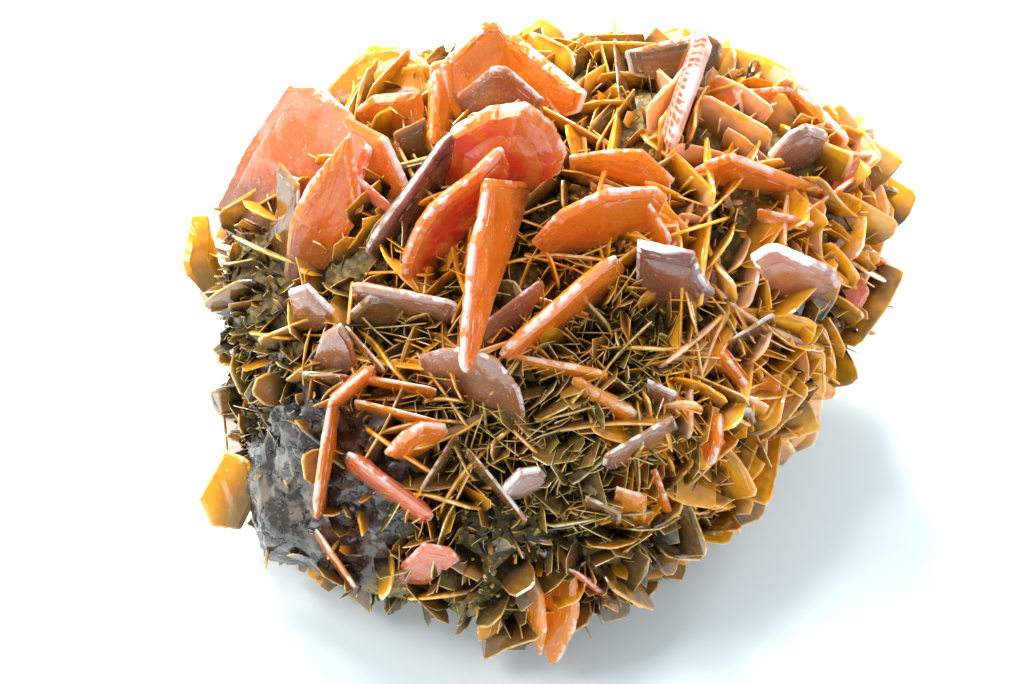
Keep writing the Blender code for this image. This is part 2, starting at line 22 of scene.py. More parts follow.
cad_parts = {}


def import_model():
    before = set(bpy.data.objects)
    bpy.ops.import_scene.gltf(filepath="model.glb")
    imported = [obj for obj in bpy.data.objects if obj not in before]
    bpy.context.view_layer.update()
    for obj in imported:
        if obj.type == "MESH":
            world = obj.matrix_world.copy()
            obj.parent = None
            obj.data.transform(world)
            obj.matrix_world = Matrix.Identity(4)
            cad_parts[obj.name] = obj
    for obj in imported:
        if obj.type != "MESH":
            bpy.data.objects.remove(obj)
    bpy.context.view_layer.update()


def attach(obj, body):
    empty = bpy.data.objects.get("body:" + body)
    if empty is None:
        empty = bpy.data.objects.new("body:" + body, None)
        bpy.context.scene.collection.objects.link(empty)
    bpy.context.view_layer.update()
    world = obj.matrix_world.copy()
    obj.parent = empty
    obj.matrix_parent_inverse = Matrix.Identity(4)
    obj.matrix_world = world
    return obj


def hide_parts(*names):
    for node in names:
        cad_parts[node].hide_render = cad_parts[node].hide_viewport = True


MM = 0.001
LOG = logging.getLogger("specimen")
Colour = tuple[float, float, float]
Pixel = tuple[float, float]
Pair = tuple[float, float]
Stops = tuple[tuple[float, Colour], ...]
BLACK: Colour = (0.0, 0.0, 0.0)


class Finish(Enum):
    """The looks of a large crystal."""

    ROSE = "rose"
    RED = "red"
    ORANGE = "orange"
    AMBER = "amber"
    YELLOW = "yellow"
    KHAKI = "khaki"
    LILAC = "lilac"
    CORAL = "coral"
    BLUSH = "blush"
    VIOLET = "violet"
    SILVER = "silver"
    PILLAR = "pillar"
    PALE = "pale"


@dataclass(frozen=True)
class View:
    """The direction that the specimen is read from, and the scale of the picture at its middle."""

    elevation: float = math.radians(50)
    focal_px: float = 2844.0
    picture_width_px: float = 1024.0
    width: float = 88 * MM
    width_px: float = 712.0
    frame_centre: Pixel = (512.0, 342.0)
    rock_centre_px: Pixel = (537.0, 350.0)
    centre: tuple[float, float, float] = (0.0, 1.5 * MM, 25 * MM)

    @cached_property
    def right(self) -> np.ndarray:
        """Unit vector to the right in the picture."""
        return np.array((1.0, 0.0, 0.0))

    @cached_property
    def up(self) -> np.ndarray:
        """Unit vector upward in the picture."""
        return np.array((0.0, math.sin(self.elevation), math.cos(self.elevation)))

    @cached_property
    def toward(self) -> np.ndarray:
        """Unit vector from the specimen toward the viewer."""
        return np.array((0.0, -math.cos(self.elevation), math.sin(self.elevation)))

    @property
    def px_per_metre(self) -> float:
        """Pixels per metre in the plane through the rock's centre."""
        return self.width_px / self.width

    @property
    def distance(self) -> float:
        """Distance of the eye from that plane."""
        return self.focal_px / self.px_per_metre

    @cached_property
    def sight_point(self) -> np.ndarray:
        """The point of that plane that is seen in the middle of the picture."""
        offset = np.subtract(self.rock_centre_px, self.frame_centre) / self.px_per_metre
        return np.array(self.centre) - offset[0] * self.right + offset[1] * self.up

    @cached_property
    def eye(self) -> np.ndarray:
        """The point that the picture is seen from."""
        return self.sight_point + self.distance * self.toward

    def points(self, pixels: Any, depth: Any) -> np.ndarray:
        """World points seen at pixels: the plane point drawn in toward the eye by its depth.

        Args:
            pixels: Pixel pairs, in any shape that ends in 2.
            depth: How far each point lies from the plane toward the viewer, in metres.

        Returns:
            Points in the same shape, ending in 3.
        """
        offset = np.subtract(pixels, self.frame_centre) * (1, -1) / self.px_per_metre
        depth = np.asarray(depth, float)[..., None]
        plane = offset[..., :1] * self.right + offset[..., 1:] * self.up
        return self.sight_point + plane * (1 - depth / self.distance) + depth * self.toward

    def ahead(self, points: np.ndarray) -> np.ndarray:
        """How far points lie from the rock's centre toward the viewer, in metres."""
        return (points - np.array(self.centre)) @ self.toward

    def pixels(self, points: np.ndarray) -> np.ndarray:
        """Pixels at which world points are seen: the offset from the eye over its share ahead.

        Args:
            points: World points, ending in 3.

        Returns:
            Pixel pairs, ending in 2.
        """
        offset = points - self.eye
        scale = -self.focal_px / (offset @ self.toward)
        across, up = offset @ self.right * scale, offset @ self.up * scale
        return np.stack((self.frame_centre[0] + across, self.frame_centre[1] - up), axis=-1)


VIEW = View()


@dataclass(frozen=True)
class Waves:
    """Smooth noise: sines in random directions, each as high as it is long, scaled to a spread of 1."""

    seed: int
    longest: float
    shortest: float
    terms: int = 28

    def __call__(self, points: np.ndarray) -> np.ndarray:
        """The noise at world points: the weighted sum of sin(2 pi p.d / length + phase).

        Args:
            points: World points, (N, 3).

        Returns:
            One value per point, with a mean of about 0 and a spread of about 1.
        """
        rng = np.random.default_rng(self.seed)
        directions = rng.normal(size=(self.terms, 3))
        directions /= np.linalg.norm(directions, axis=1)[:, None]
        steps = np.linspace(0, 1, self.terms)
        lengths = self.longest * (self.shortest / self.longest) ** steps
        phases = rng.uniform(0, 2 * math.pi, self.terms)
        weights = lengths / math.sqrt((lengths**2).sum() / 2)
        return np.sin(points @ (directions * (2 * math.pi / lengths)[:, None]).T + phases) @ weights


def smooth_step(values: np.ndarray, low: float, high: float) -> np.ndarray:
    """Rises smoothly from 0 at low to 1 at high: t squared times (3 - 2t)."""
    share = np.clip((values - low) / (high - low), 0, 1)
    return share * share * (3 - 2 * share)


def unit(vectors: np.ndarray) -> np.ndarray:
    """The vectors at length one, along the last axis."""
    return vectors / np.linalg.norm(vectors, axis=-1, keepdims=True)


@dataclass(frozen=True)
class Patch:
    """A part of the front: an ellipse in the picture that fades out toward its edge."""

    centre_px: Pixel
    radii_px: Pixel
    fade: float = 0.35

    def share(self, points: np.ndarray) -> np.ndarray:
        """How far points lie in the patch: 1 inside, 0 outside and on the side away from the viewer.

        Args:
            points: World points, (N, 3).

        Returns:
            One share per point.
        """
        offset = (VIEW.pixels(points) - self.centre_px) / self.radii_px
        inside = 1 - smooth_step(np.linalg.norm(offset, axis=1), 1 - self.fade, 1 + self.fade)
        return inside * (VIEW.ahead(points) > 0)


# Parts of the front that differ from the rest: bare grey rock, a dark hollow and kinds of crust
BARE_FACE = Patch((312, 492), (98, 105))
LEFT_FACE = Patch((278, 425), (32, 80))
HOLLOW = Patch((515, 545), (58, 58))
THICKET = Patch((600, 415), (150, 100))
GOLDEN_SIDE = Patch((745, 430), (110, 115))
UPPER_RIGHT = Patch((760, 180), (150, 130))
LEFT_FLANK = Patch((232, 330), (62, 140))


@dataclass(frozen=True)
class Rock:
    """The lump of rock: a pillow with a known outline from the viewer, with lumps from crossing waves.

    Front and back are the pillow's depths, and crust is how far it stays inside the outline. A wave
    is given by its height, its length and its phase.
    """

    front: float = 22 * MM
    back: float = 31 * MM
    crust: float = 1.8 * MM
    waves: tuple[tuple[float, float, float], ...] = ((0.9 * MM, 19 * MM, 0.4), (0.45 * MM, 9 * MM, 1.9))
    slant: float = 0.4
    slant_share: float = 0.7
    depth_rounds: int = 3
    normal_step: float = 0.02
    outline_px: tuple[Pixel, ...] = (
        (218, 300), (226, 222), (290, 140), (370, 80), (460, 54), (560, 46), (640, 48), (760, 88),
        (856, 140), (880, 225), (868, 305), (806, 385), (752, 470), (700, 510), (662, 558),
        (600, 618), (520, 630), (430, 606), (330, 592), (262, 556), (238, 480), (238, 390),
    )

    @cached_property
    def outline(self) -> tuple[np.ndarray, np.ndarray]:
        """The outline about the rock's centre, in the picture plane.

        Returns:
            The angle and the distance of each of its points.
        """
        offsets = VIEW.points(self.outline_px, np.zeros(len(self.outline_px))) - np.array(VIEW.centre)
        across, up = offsets @ VIEW.right, offsets @ VIEW.up
        return np.arctan2(up, across), np.hypot(across, up)

    def reach(self, angle: np.ndarray) -> np.ndarray:
        """Distance from the rock's centre to the outline at angles in the picture plane."""
        angles, distances = self.outline
        return np.interp(angle, angles, distances, period=2 * math.pi)

    def front_depth(self, pixels: np.ndarray) -> np.ndarray:
        """Depth of the pillow at pixels of its front: an ellipse's height over its filled outline.

        Args:
            pixels: Pixel pairs, (N, 2).

        Returns:
            Depths toward the viewer in metres, 0 outside the outline.
        """
        depth = np.zeros(len(pixels))
        for _ in range(self.depth_rounds):
            offset = VIEW.points(pixels, depth) - np.array(VIEW.centre)
            across, up = offset @ VIEW.right, offset @ VIEW.up
            fill = np.hypot(across, up) / self.reach(np.arctan2(up, across))
            depth = self.front * np.sqrt(np.clip(1 - fill * fill, 0, None))
        return depth

    def relief(self, points: np.ndarray) -> np.ndarray:
        """Height of the lumps at world points: crossing and slanting sines of two lengths.

        Args:
            points: World points, (N, 3).

        Returns:
            Heights in metres, one per point.
        """
        x, y, z = points.T
        height = np.zeros(len(points))
        for size, length, phase in self.waves:
            wave = 2 * math.pi / length
            height += size * np.sin(wave * x + phase) * np.cos(wave * y - phase)
            height += size * self.slant_share * np.sin(wave * (z + self.slant * x) + 2 * phase)
        return height

    def points(self, directions: np.ndarray) -> np.ndarray:
        """Rock points along unit directions: the pillow's radius and then its lumps.

        Args:
            directions: Unit directions from the rock's centre, (N, 3).

        Returns:
            World points, (N, 3).
        """
        across, up, toward = (directions @ axis for axis in (VIEW.right, VIEW.up, VIEW.toward))
        side = np.hypot(across, up) / (self.reach(np.arctan2(up, across)) - self.crust)
        depth = toward / np.where(toward > 0, self.front, self.back)
        pillow = np.array(VIEW.centre) + directions / np.sqrt(side * side + depth * depth)[:, None]
        return pillow + directions * self.relief(pillow)[:, None]

    def normals(self, directions: np.ndarray) -> np.ndarray:
        """Outward normals of the rock along unit directions, from short steps to all four sides.

        Args:
            directions: Unit directions from the rock's centre, (N, 3).

        Returns:
            Unit normals, (N, 3).
        """
        side = unit(np.cross(directions, VIEW.right))
        other = np.cross(directions, side)
        step = self.normal_step
        ahead, behind = (self.points(unit(directions + s * step * side)) for s in (1, -1))
        left, right = (self.points(unit(directions + s * step * other)) for s in (1, -1))
        normals = unit(np.cross(ahead - behind, left - right))
        return normals * np.sign((normals * directions).sum(axis=1))[:, None]


ROCK = Rock()


@dataclass
class Surface:
    """Points, faces and values of a mesh before it goes into Blender.

    Each array of faces holds faces with the same number of corners, and looks gives their material.
    """

    points: np.ndarray
    faces: list[np.ndarray]
    values: dict[str, np.ndarray]
    looks: list[np.ndarray] = field(default_factory=list)

    def __post_init__(self) -> None:
        """Gives every face the first material where none is stated."""
        if not self.looks:
            self.looks = [np.zeros(len(group), int) for group in self.faces]

    def with_look(self, index: int) -> Surface:
        """The same surface with every face in one material."""
        looks = [np.full(len(group), index) for group in self.faces]
        return Surface(self.points, self.faces, self.values, looks)

    @staticmethod
    def joined(surfaces: Sequence[Surface]) -> Surface:
        """One surface out of many, with their faces counted on.

        Args:
            surfaces: Surfaces with the same names of values.

        Returns:
            The joined surface.
        """
        starts = np.cumsum([0] + [len(surface.points) for surface in surfaces[:-1]])
        faces: dict[int, list[np.ndarray]] = {}
        looks: dict[int, list[np.ndarray]] = {}
        for surface, start in zip(surfaces, starts):
            for group, look in zip(surface.faces, surface.looks):
                faces.setdefault(group.shape[1], []).append(group + start)
                looks.setdefault(group.shape[1], []).append(look)
        values = {
            name: np.concatenate([surface.values[name] for surface in surfaces])
            for name in surfaces[0].values
        }
        return Surface(
            np.concatenate([surface.points for surface in surfaces]),
            [np.concatenate(groups) for groups in faces.values()],
            values,
            [np.concatenate(groups) for groups in looks.values()],
        )

    def piece(
        self, name: str, materials: Sequence[bpy.types.Material], crease: float | None
    ) -> bpy.types.Object:
        """Puts the surface into the scene.

        Args:
            name: The object's name.
            materials: One material per look.
            crease: Angle in radians above which an edge stays sharp, or None for flat faces.

        Returns:
            The new object, at the origin and unturned.
        """
        mesh = bpy.data.meshes.new(name)
        sizes = np.concatenate([np.full(len(group), group.shape[1]) for group in self.faces])
        corners = np.concatenate([group.ravel() for group in self.faces])
        mesh.vertices.add(len(self.points))
        mesh.vertices.foreach_set("co", self.points.astype(np.float32).ravel())
        mesh.loops.add(len(corners))
        mesh.loops.foreach_set("vertex_index", corners.astype(np.int32))
        mesh.polygons.add(len(sizes))
        mesh.polygons.foreach_set("loop_start", (np.cumsum(sizes) - sizes).astype(np.int32))
        mesh.polygons.foreach_set("material_index", np.concatenate(self.looks).astype(np.int32))
        mesh.update(calc_edges=True)
        mesh.validate()
        for key, values in self.values.items():
            attribute = mesh.attributes.new(key, "FLOAT", "POINT")
            attribute.data.foreach_set("value", values.astype(np.float32))
        if crease is None:
            mesh.shade_flat()
        else:
            mesh.shade_smooth()
            mesh.set_sharp_from_angle(angle=crease)
        for material in materials:
            mesh.materials.append(material)
        obj = bpy.data.objects.new(name, mesh)
        bpy.context.scene.collection.objects.link(obj)
        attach(obj, "root")
        mesh.calc_loop_triangles()
        LOG.info("%s: %d triangles", name, len(mesh.loop_triangles))
        return obj


def ring_faces(rings: int, columns: int) -> list[np.ndarray]:
    """Faces of closed rings stacked one after another, with a fan to a pole at either end.

    The points are the rings in order, then the first pole and the last pole.

    Args:
        rings: How many rings.
        columns: Points in each ring.

    Returns:
        The quads and the triangles.
    """
    column = np.arange(columns)
    after = (column + 1) % columns
    start = np.arange(rings - 1)[:, None] * columns
    quads = np.stack(
        (start + column, start + columns + column, start + columns + after, start + after), axis=-1
    )
    last = (rings - 1) * columns
    first_pole, last_pole = np.full(columns, rings * columns), np.full(columns, rings * columns + 1)
    fans = np.concatenate(
        (
            np.stack((first_pole, column, after), axis=-1),
            np.stack((last_pole, last + after, last + column), axis=-1),
        )
    )
    return [quads.reshape(-1, 4), fans]


def slab_faces(rings: int, corners: int) -> list[np.ndarray]:
    """Faces of closed rings stacked one after another, with a flat cap at either end.

    Args:
        rings: How many rings.
        corners: Points in each ring.

    Returns:
        The quads and the two caps.
    """
    quads, _ = ring_faces(rings, corners)
    front = np.arange(corners)
    return [quads, np.stack((front, front[::-1] + (rings - 1) * corners))]


def resampled(corners: np.ndarray, count: int) -> np.ndarray:
    """A closed outline as evenly spaced points, with corners rounded by one averaging of neighbours.

    Args:
        corners: The outline's corners in its plane, (K, 2).
        count: How many points to lay out along it.

    Returns:
        The points, (count, 2).
    """
    closed = np.vstack((corners, corners[:1]))
    along = np.concatenate(([0], np.cumsum(np.linalg.norm(np.diff(closed, axis=0), axis=1))))
    stations = np.linspace(0, along[-1], count, endpoint=False)
    points = np.stack([np.interp(stations, along, closed[:, axis]) for axis in (0, 1)], axis=-1)
    return (np.roll(points, 1, axis=0) + 2 * points + np.roll(points, -1, axis=0)) / 4


# Outline of a tablet seen on edge: along the rim from A to B, and from the rim down to the root
BLADE = (
    (-0.5, 0.08), (-0.42, 0), (0.42, 0), (0.5, 0.08), (0.5, 0.8), (0.4, 1), (-0.4, 1), (-0.5, 0.8),
)


@dataclass(frozen=True)
class Tablet:
    """A large crystal: rim ends and root as pixels, rises in mm above the rock, thickness in mm.

    The outline is given as pixels, or as BLADE where the crystal is seen on edge.
    """

    name: str
    finish: Finish
    a_px: Pixel
    a_rise: float
    b_px: Pixel
    b_rise: float
    root_px: Pixel
    thickness: float
    outline: tuple[Pixel, ...]
    root_depth: float = 3 * MM

    @cached_property
    def anchors(self) -> np.ndarray:
        """The three points that hold the crystal's plane.

        Returns:
            The two rim ends and the root, as world points.
        """
        pixels = np.array((self.a_px, self.b_px, self.root_px), float)
        rises = np.array((self.a_rise * MM, self.b_rise * MM, -self.root_depth))
        return VIEW.points(pixels, ROCK.front_depth(pixels) + rises)

    @cached_property
    def normal(self) -> np.ndarray:
        """Unit normal of the plane through the anchors."""
        a, b, root = self.anchors
        return unit(np.cross(b - a, root - a))

    @cached_property
    def corners(self) -> np.ndarray:
        """The outline in that plane: a blade laid on the anchors, or sight lines cut by the plane.

        Returns:
            World points, (corners, 3).
        """
        a, b, root = self.anchors
        if self.outline is BLADE:
            middle, form = (a + b) / 2, np.array(BLADE)
            return middle + form[:, :1] * (b - a) + form[:, 1:] * (root - middle)
        rays = VIEW.points(self.outline, np.zeros(len(self.outline))) - VIEW.eye
        return VIEW.eye + rays * (((a - VIEW.eye) @ self.normal) / (rays @ self.normal))[:, None]


@dataclass(frozen=True)
class Cut:
    """How a large crystal's rim and faces are cut, in metres.

    The bevel takes at most the share widest of the way to the middle, and a growth step at most the
    half thickness over step_limit. Notches follow the beta law tooth_law, or come and go evenly
    where the cut is regular. The waves of the faces have their full height from the inset calm on.
    A terrace is a ring's share of the bevelled outline and how many steps it lies down.
    """

    spacing: float = 0.33 * MM
    counts: tuple[int, int] = (36, 260)
    bevel: float = 0.75 * MM
    widest: float = 0.45
    nearest: float = 0.35
    land: float = 0.28
    step: float = 0.04 * MM
    step_limit: float = 5
    wobble: float = 0.02
    wobble_lengths: Pair = (7 * MM, 2 * MM)
    notch: float = 0.13 * MM
    notch_length: float = 0.55 * MM
    fewest_notches: int = 4
    tooth_law: Pair = (0.7, 1.6)
    tooth_scatter: float = 0.3
    wave: float = 0.1 * MM
    wave_lengths: Pair = (7 * MM, 1.8 * MM)
    calm: float = 2 * MM
    taper: float = 0.35
    regular: bool = False
    terraces: tuple[Pair, ...] = (
        (0.3, 0), (0.55, 0), (0.63, 0), (0.66, 1), (0.84, 1), (0.88, 2), (1.0, 2),
    )
    back_rings: tuple[float, ...] = (1.0, 0.6, 0.3)


LARGE_CUT = Cut()
PILLAR_CUT = Cut(regular=True, notch=0, notch_length=0.62 * MM)
THIN_CUT = Cut(bevel=0.45 * MM, taper=0.6)

# Angle above which an edge stays sharp
CRYSTAL_CREASE = math.radians(24)
ROCK_CREASE = math.radians(60)


@dataclass(frozen=True)
class Plate:
    """A large crystal as a closed surface of rings around its middle.

    Rim and root are the middles of its upper and its lower end. Inner is the inset in mm that its
    rim starts with, above 0 for a layer that lies on another plate's face.
    """

    corners: np.ndarray
    normal: np.ndarray
    thickness: float
    rim: np.ndarray
    root: np.ndarray
    cut: Cut
    seed: int
    inner: float = 0.0

    @cached_property
    def axes(self) -> tuple[np.ndarray, np.ndarray]:
        """Two unit vectors that span the plate's plane, turning anticlockwise about its normal."""
        first = unit(self.corners[1] - self.corners[0])
        return first, np.cross(self.normal, first)

    @cached_property
    def outline(self) -> np.ndarray:
        """The rim in the plate's plane: evenly spaced points, cut back by random notches.

        Returns:
            Points about the corners' middle, (N, 2).
        """
        flat = np.stack([(self.corners - self.corners.mean(axis=0)) @ axis for axis in self.axes], axis=-1)
        turned = np.roll(flat, -1, axis=0)
        if (flat[:, 0] * turned[:, 1] - flat[:, 1] * turned[:, 0]).sum() < 0:
            flat, turned = flat[::-1], np.roll(flat[::-1], -1, axis=0)
        girth = np.linalg.norm(turned - flat, axis=1).sum()
        points = resampled(flat, int(np.clip(girth / self.cut.spacing, *self.cut.counts)))
        return points - self.outward(points) * (self.cut.notch * self.teeth(len(points), girth))[:, None]

    def thinning(self, flat: np.ndarray) -> np.ndarray:
        """Share of the thickness that is left: 1 less the taper times the squared place along the plate.

        Args:
            flat: Points in the plate's plane, (N, 2).

        Returns:
            The share at each point.
        """
        long_axis = np.linalg.eigh(np.cov(self.outline.T))[1][:, 1]
        reach = np.abs(self.outline @ long_axis).max()
        return 1 - self.cut.taper * np.clip(flat @ long_axis / reach, -1, 1) ** 2

    @staticmethod
    def outward(points: np.ndarray) -> np.ndarray:
        """Unit vectors square to a closed anticlockwise outline, pointing out of it."""
        tangent = np.roll(points, -1, axis=0) - np.roll(points, 1, axis=0)
        return unit(np.stack((tangent[:, 1], -tangent[:, 0]), axis=-1))

    def teeth(self, count: int, girth: float) -> np.ndarray:
        """Depth of the notches along the rim, 0 to 1: random values held over a notch's length.

        Args:
            count: How many points the rim has.
            girth: The rim's length in metres.

        Returns:
            One depth per point.
        """
        rng, cut = np.random.default_rng(self.seed), self.cut
        knots = max(cut.fewest_notches, int(girth / cut.notch_length / 2)) * 2
        held = rng.beta(*cut.tooth_law, knots)
        if cut.regular:
            held = np.arange(knots) % 2 * 1.0
        scatter = rng.uniform(-cut.tooth_scatter, cut.tooth_scatter, count)
        return held[(np.arange(count) * knots / count + scatter).astype(int) % knots]

    def surface(self) -> Surface:
        """Rings from the middle of the front face over its growth steps and bevelled rim to the back.

        A ring lies at an inset d from the rim where each rim point p is drawn toward the middle by
        the factor 1 - d / h, with h the middle's distance from the rim's tangent at p, so that the
        ring stays parallel to the rim. Inside the bevel, a ring is the bevel's edge times a share.

        Returns:
            The closed surface, with inset in mm, foot, notch, through and tone as values.
        """
        cut, rim = self.cut, self.outline
        least = cut.nearest * np.linalg.norm(rim, axis=1)
        away = np.clip((rim * self.outward(rim)).sum(axis=1), least, None)
        bevel = np.minimum(cut.bevel, cut.widest * away)
        edge = 1 - bevel / away
        half = self.thickness / 2
        step = min(cut.step, half / cut.step_limit)
        wobble = Waves(self.seed, *cut.wobble_lengths)(np.c_[rim, np.zeros(len(rim))]) * cut.wobble
        front = [
            (edge * (share + wobble * (share < 1)), half - step * steps) for share, steps in cut.terraces
        ]
        land = half * cut.land
        back = [(edge * share, -half) for share in cut.back_rings]
        rings = front + [(np.ones(len(rim)), land), (np.ones(len(rim)), -land)] + back
        shares = np.array([share for share, _ in rings])
        flat = np.concatenate(((shares[:, :, None] * rim).reshape(-1, 2), np.zeros((2, 2))))
        heights = np.repeat([height for _, height in rings], len(rim))
        heights = np.concatenate((heights, (half, -half)))
        inset = np.concatenate((((1 - shares) * away).ravel(), np.full(2, away.min())))
        middle = self.corners.mean(axis=0)
        points = middle + flat[:, :1] * self.axes[0] + flat[:, 1:] * self.axes[1]
        rolling = Waves(self.seed + 1, *cut.wave_lengths)(points)
        lift = rolling * cut.wave * smooth_step(inset, 0, cut.calm)
        points += (heights * self.thinning(flat) + lift)[:, None] * self.normal
        down = self.root - self.rim
        notch = np.tile(self.teeth(len(rim), len(rim) * cut.spacing), len(rings))
        values = {
            "inset": inset / MM + self.inner,
            "foot": (points - self.rim) @ down / (down @ down),
            "notch": np.concatenate((notch, (0, 0))),
            "through": heights / half,
            "tone": np.full(len(points), np.random.default_rng(self.seed).uniform()),
        }
        return Surface(points, ring_faces(len(rings), len(rim)), values)


@dataclass(frozen=True)
class Cluster:
    """Crystals of one solid as one piece, each with thinner layers grown on its faces.

    A layer is the crystal's outline, drawn by a scale toward a point that lies below its middle by
    the share pivot of its height, and moved off its middle by a share of its thickness. Sides are
    the layers' directions, each with what it adds to the seed. Slimness is the share of a solid
    crystal's thickness that is kept.
    """

    name: str
    solid: str
    tablets: tuple[Tablet, ...]
    seed: int
    seed_step: int = 100
    cut: Cut = LARGE_CUT
    slimness: float = 1.0
    stands_for_solid: bool = True
    sides: tuple[tuple[int, int], ...] = ((1, 27), (-1, 13))
    layer_offsets: Pair = (0.38, 0.46)
    layer_scales: Pair = (0.7, 0.93)
    layer_thickness: float = 0.3
    layer_inset: float = 1.0
    pivot: float = 0.3

    def plates(self, tablet: Tablet, seed: int) -> list[Plate]:
        """A crystal and its layers: its outline drawn toward the root and moved off its face.

        Args:
            tablet: The crystal.
            seed: Start of its random numbers.

        Returns:
            The crystal's plate first and then its layers.
        """
        rng = np.random.default_rng(seed)
        a, b, root = tablet.anchors
        rim, thickness = (a + b) / 2, self.slimness * tablet.thickness * MM
        cut = PILLAR_CUT if tablet.finish is Finish.PILLAR else self.cut
        plates = [Plate(tablet.corners, tablet.normal, thickness, rim, root, cut, seed)]
        pivot = tablet.corners.mean(axis=0) + self.pivot * (root - rim)
        layer = self.layer_thickness * thickness
        for side, added in self.sides:
            scale = rng.uniform(*self.layer_scales)
            offset = side * thickness * rng.uniform(*self.layer_offsets)
            corners = pivot + scale * (tablet.corners - pivot) + offset * tablet.normal
            plates.append(
                Plate(corners, tablet.normal, layer, rim, root, cut, seed + added, self.layer_inset)
            )
        LOG.info("%s: %d plates", tablet.name, len(plates))
        return plates

    def build(self, materials: dict[Finish, bpy.types.Material]) -> None:
        """Joins the plates into one piece with a material per finish.

        Args:
            materials: One material per finish.
        """
        finishes = list(dict.fromkeys(tablet.finish for tablet in self.tablets))
        surfaces = [
            plate.surface().with_look(finishes.index(tablet.finish))
            for index, tablet in enumerate(self.tablets)
            for plate in self.plates(tablet, self.seed + self.seed_step * index)
        ]
        used = [materials[finish] for finish in finishes]
        piece = Surface.joined(surfaces).piece(self.name, used, CRYSTAL_CREASE)
        if self.stands_for_solid:
            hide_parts(self.solid)


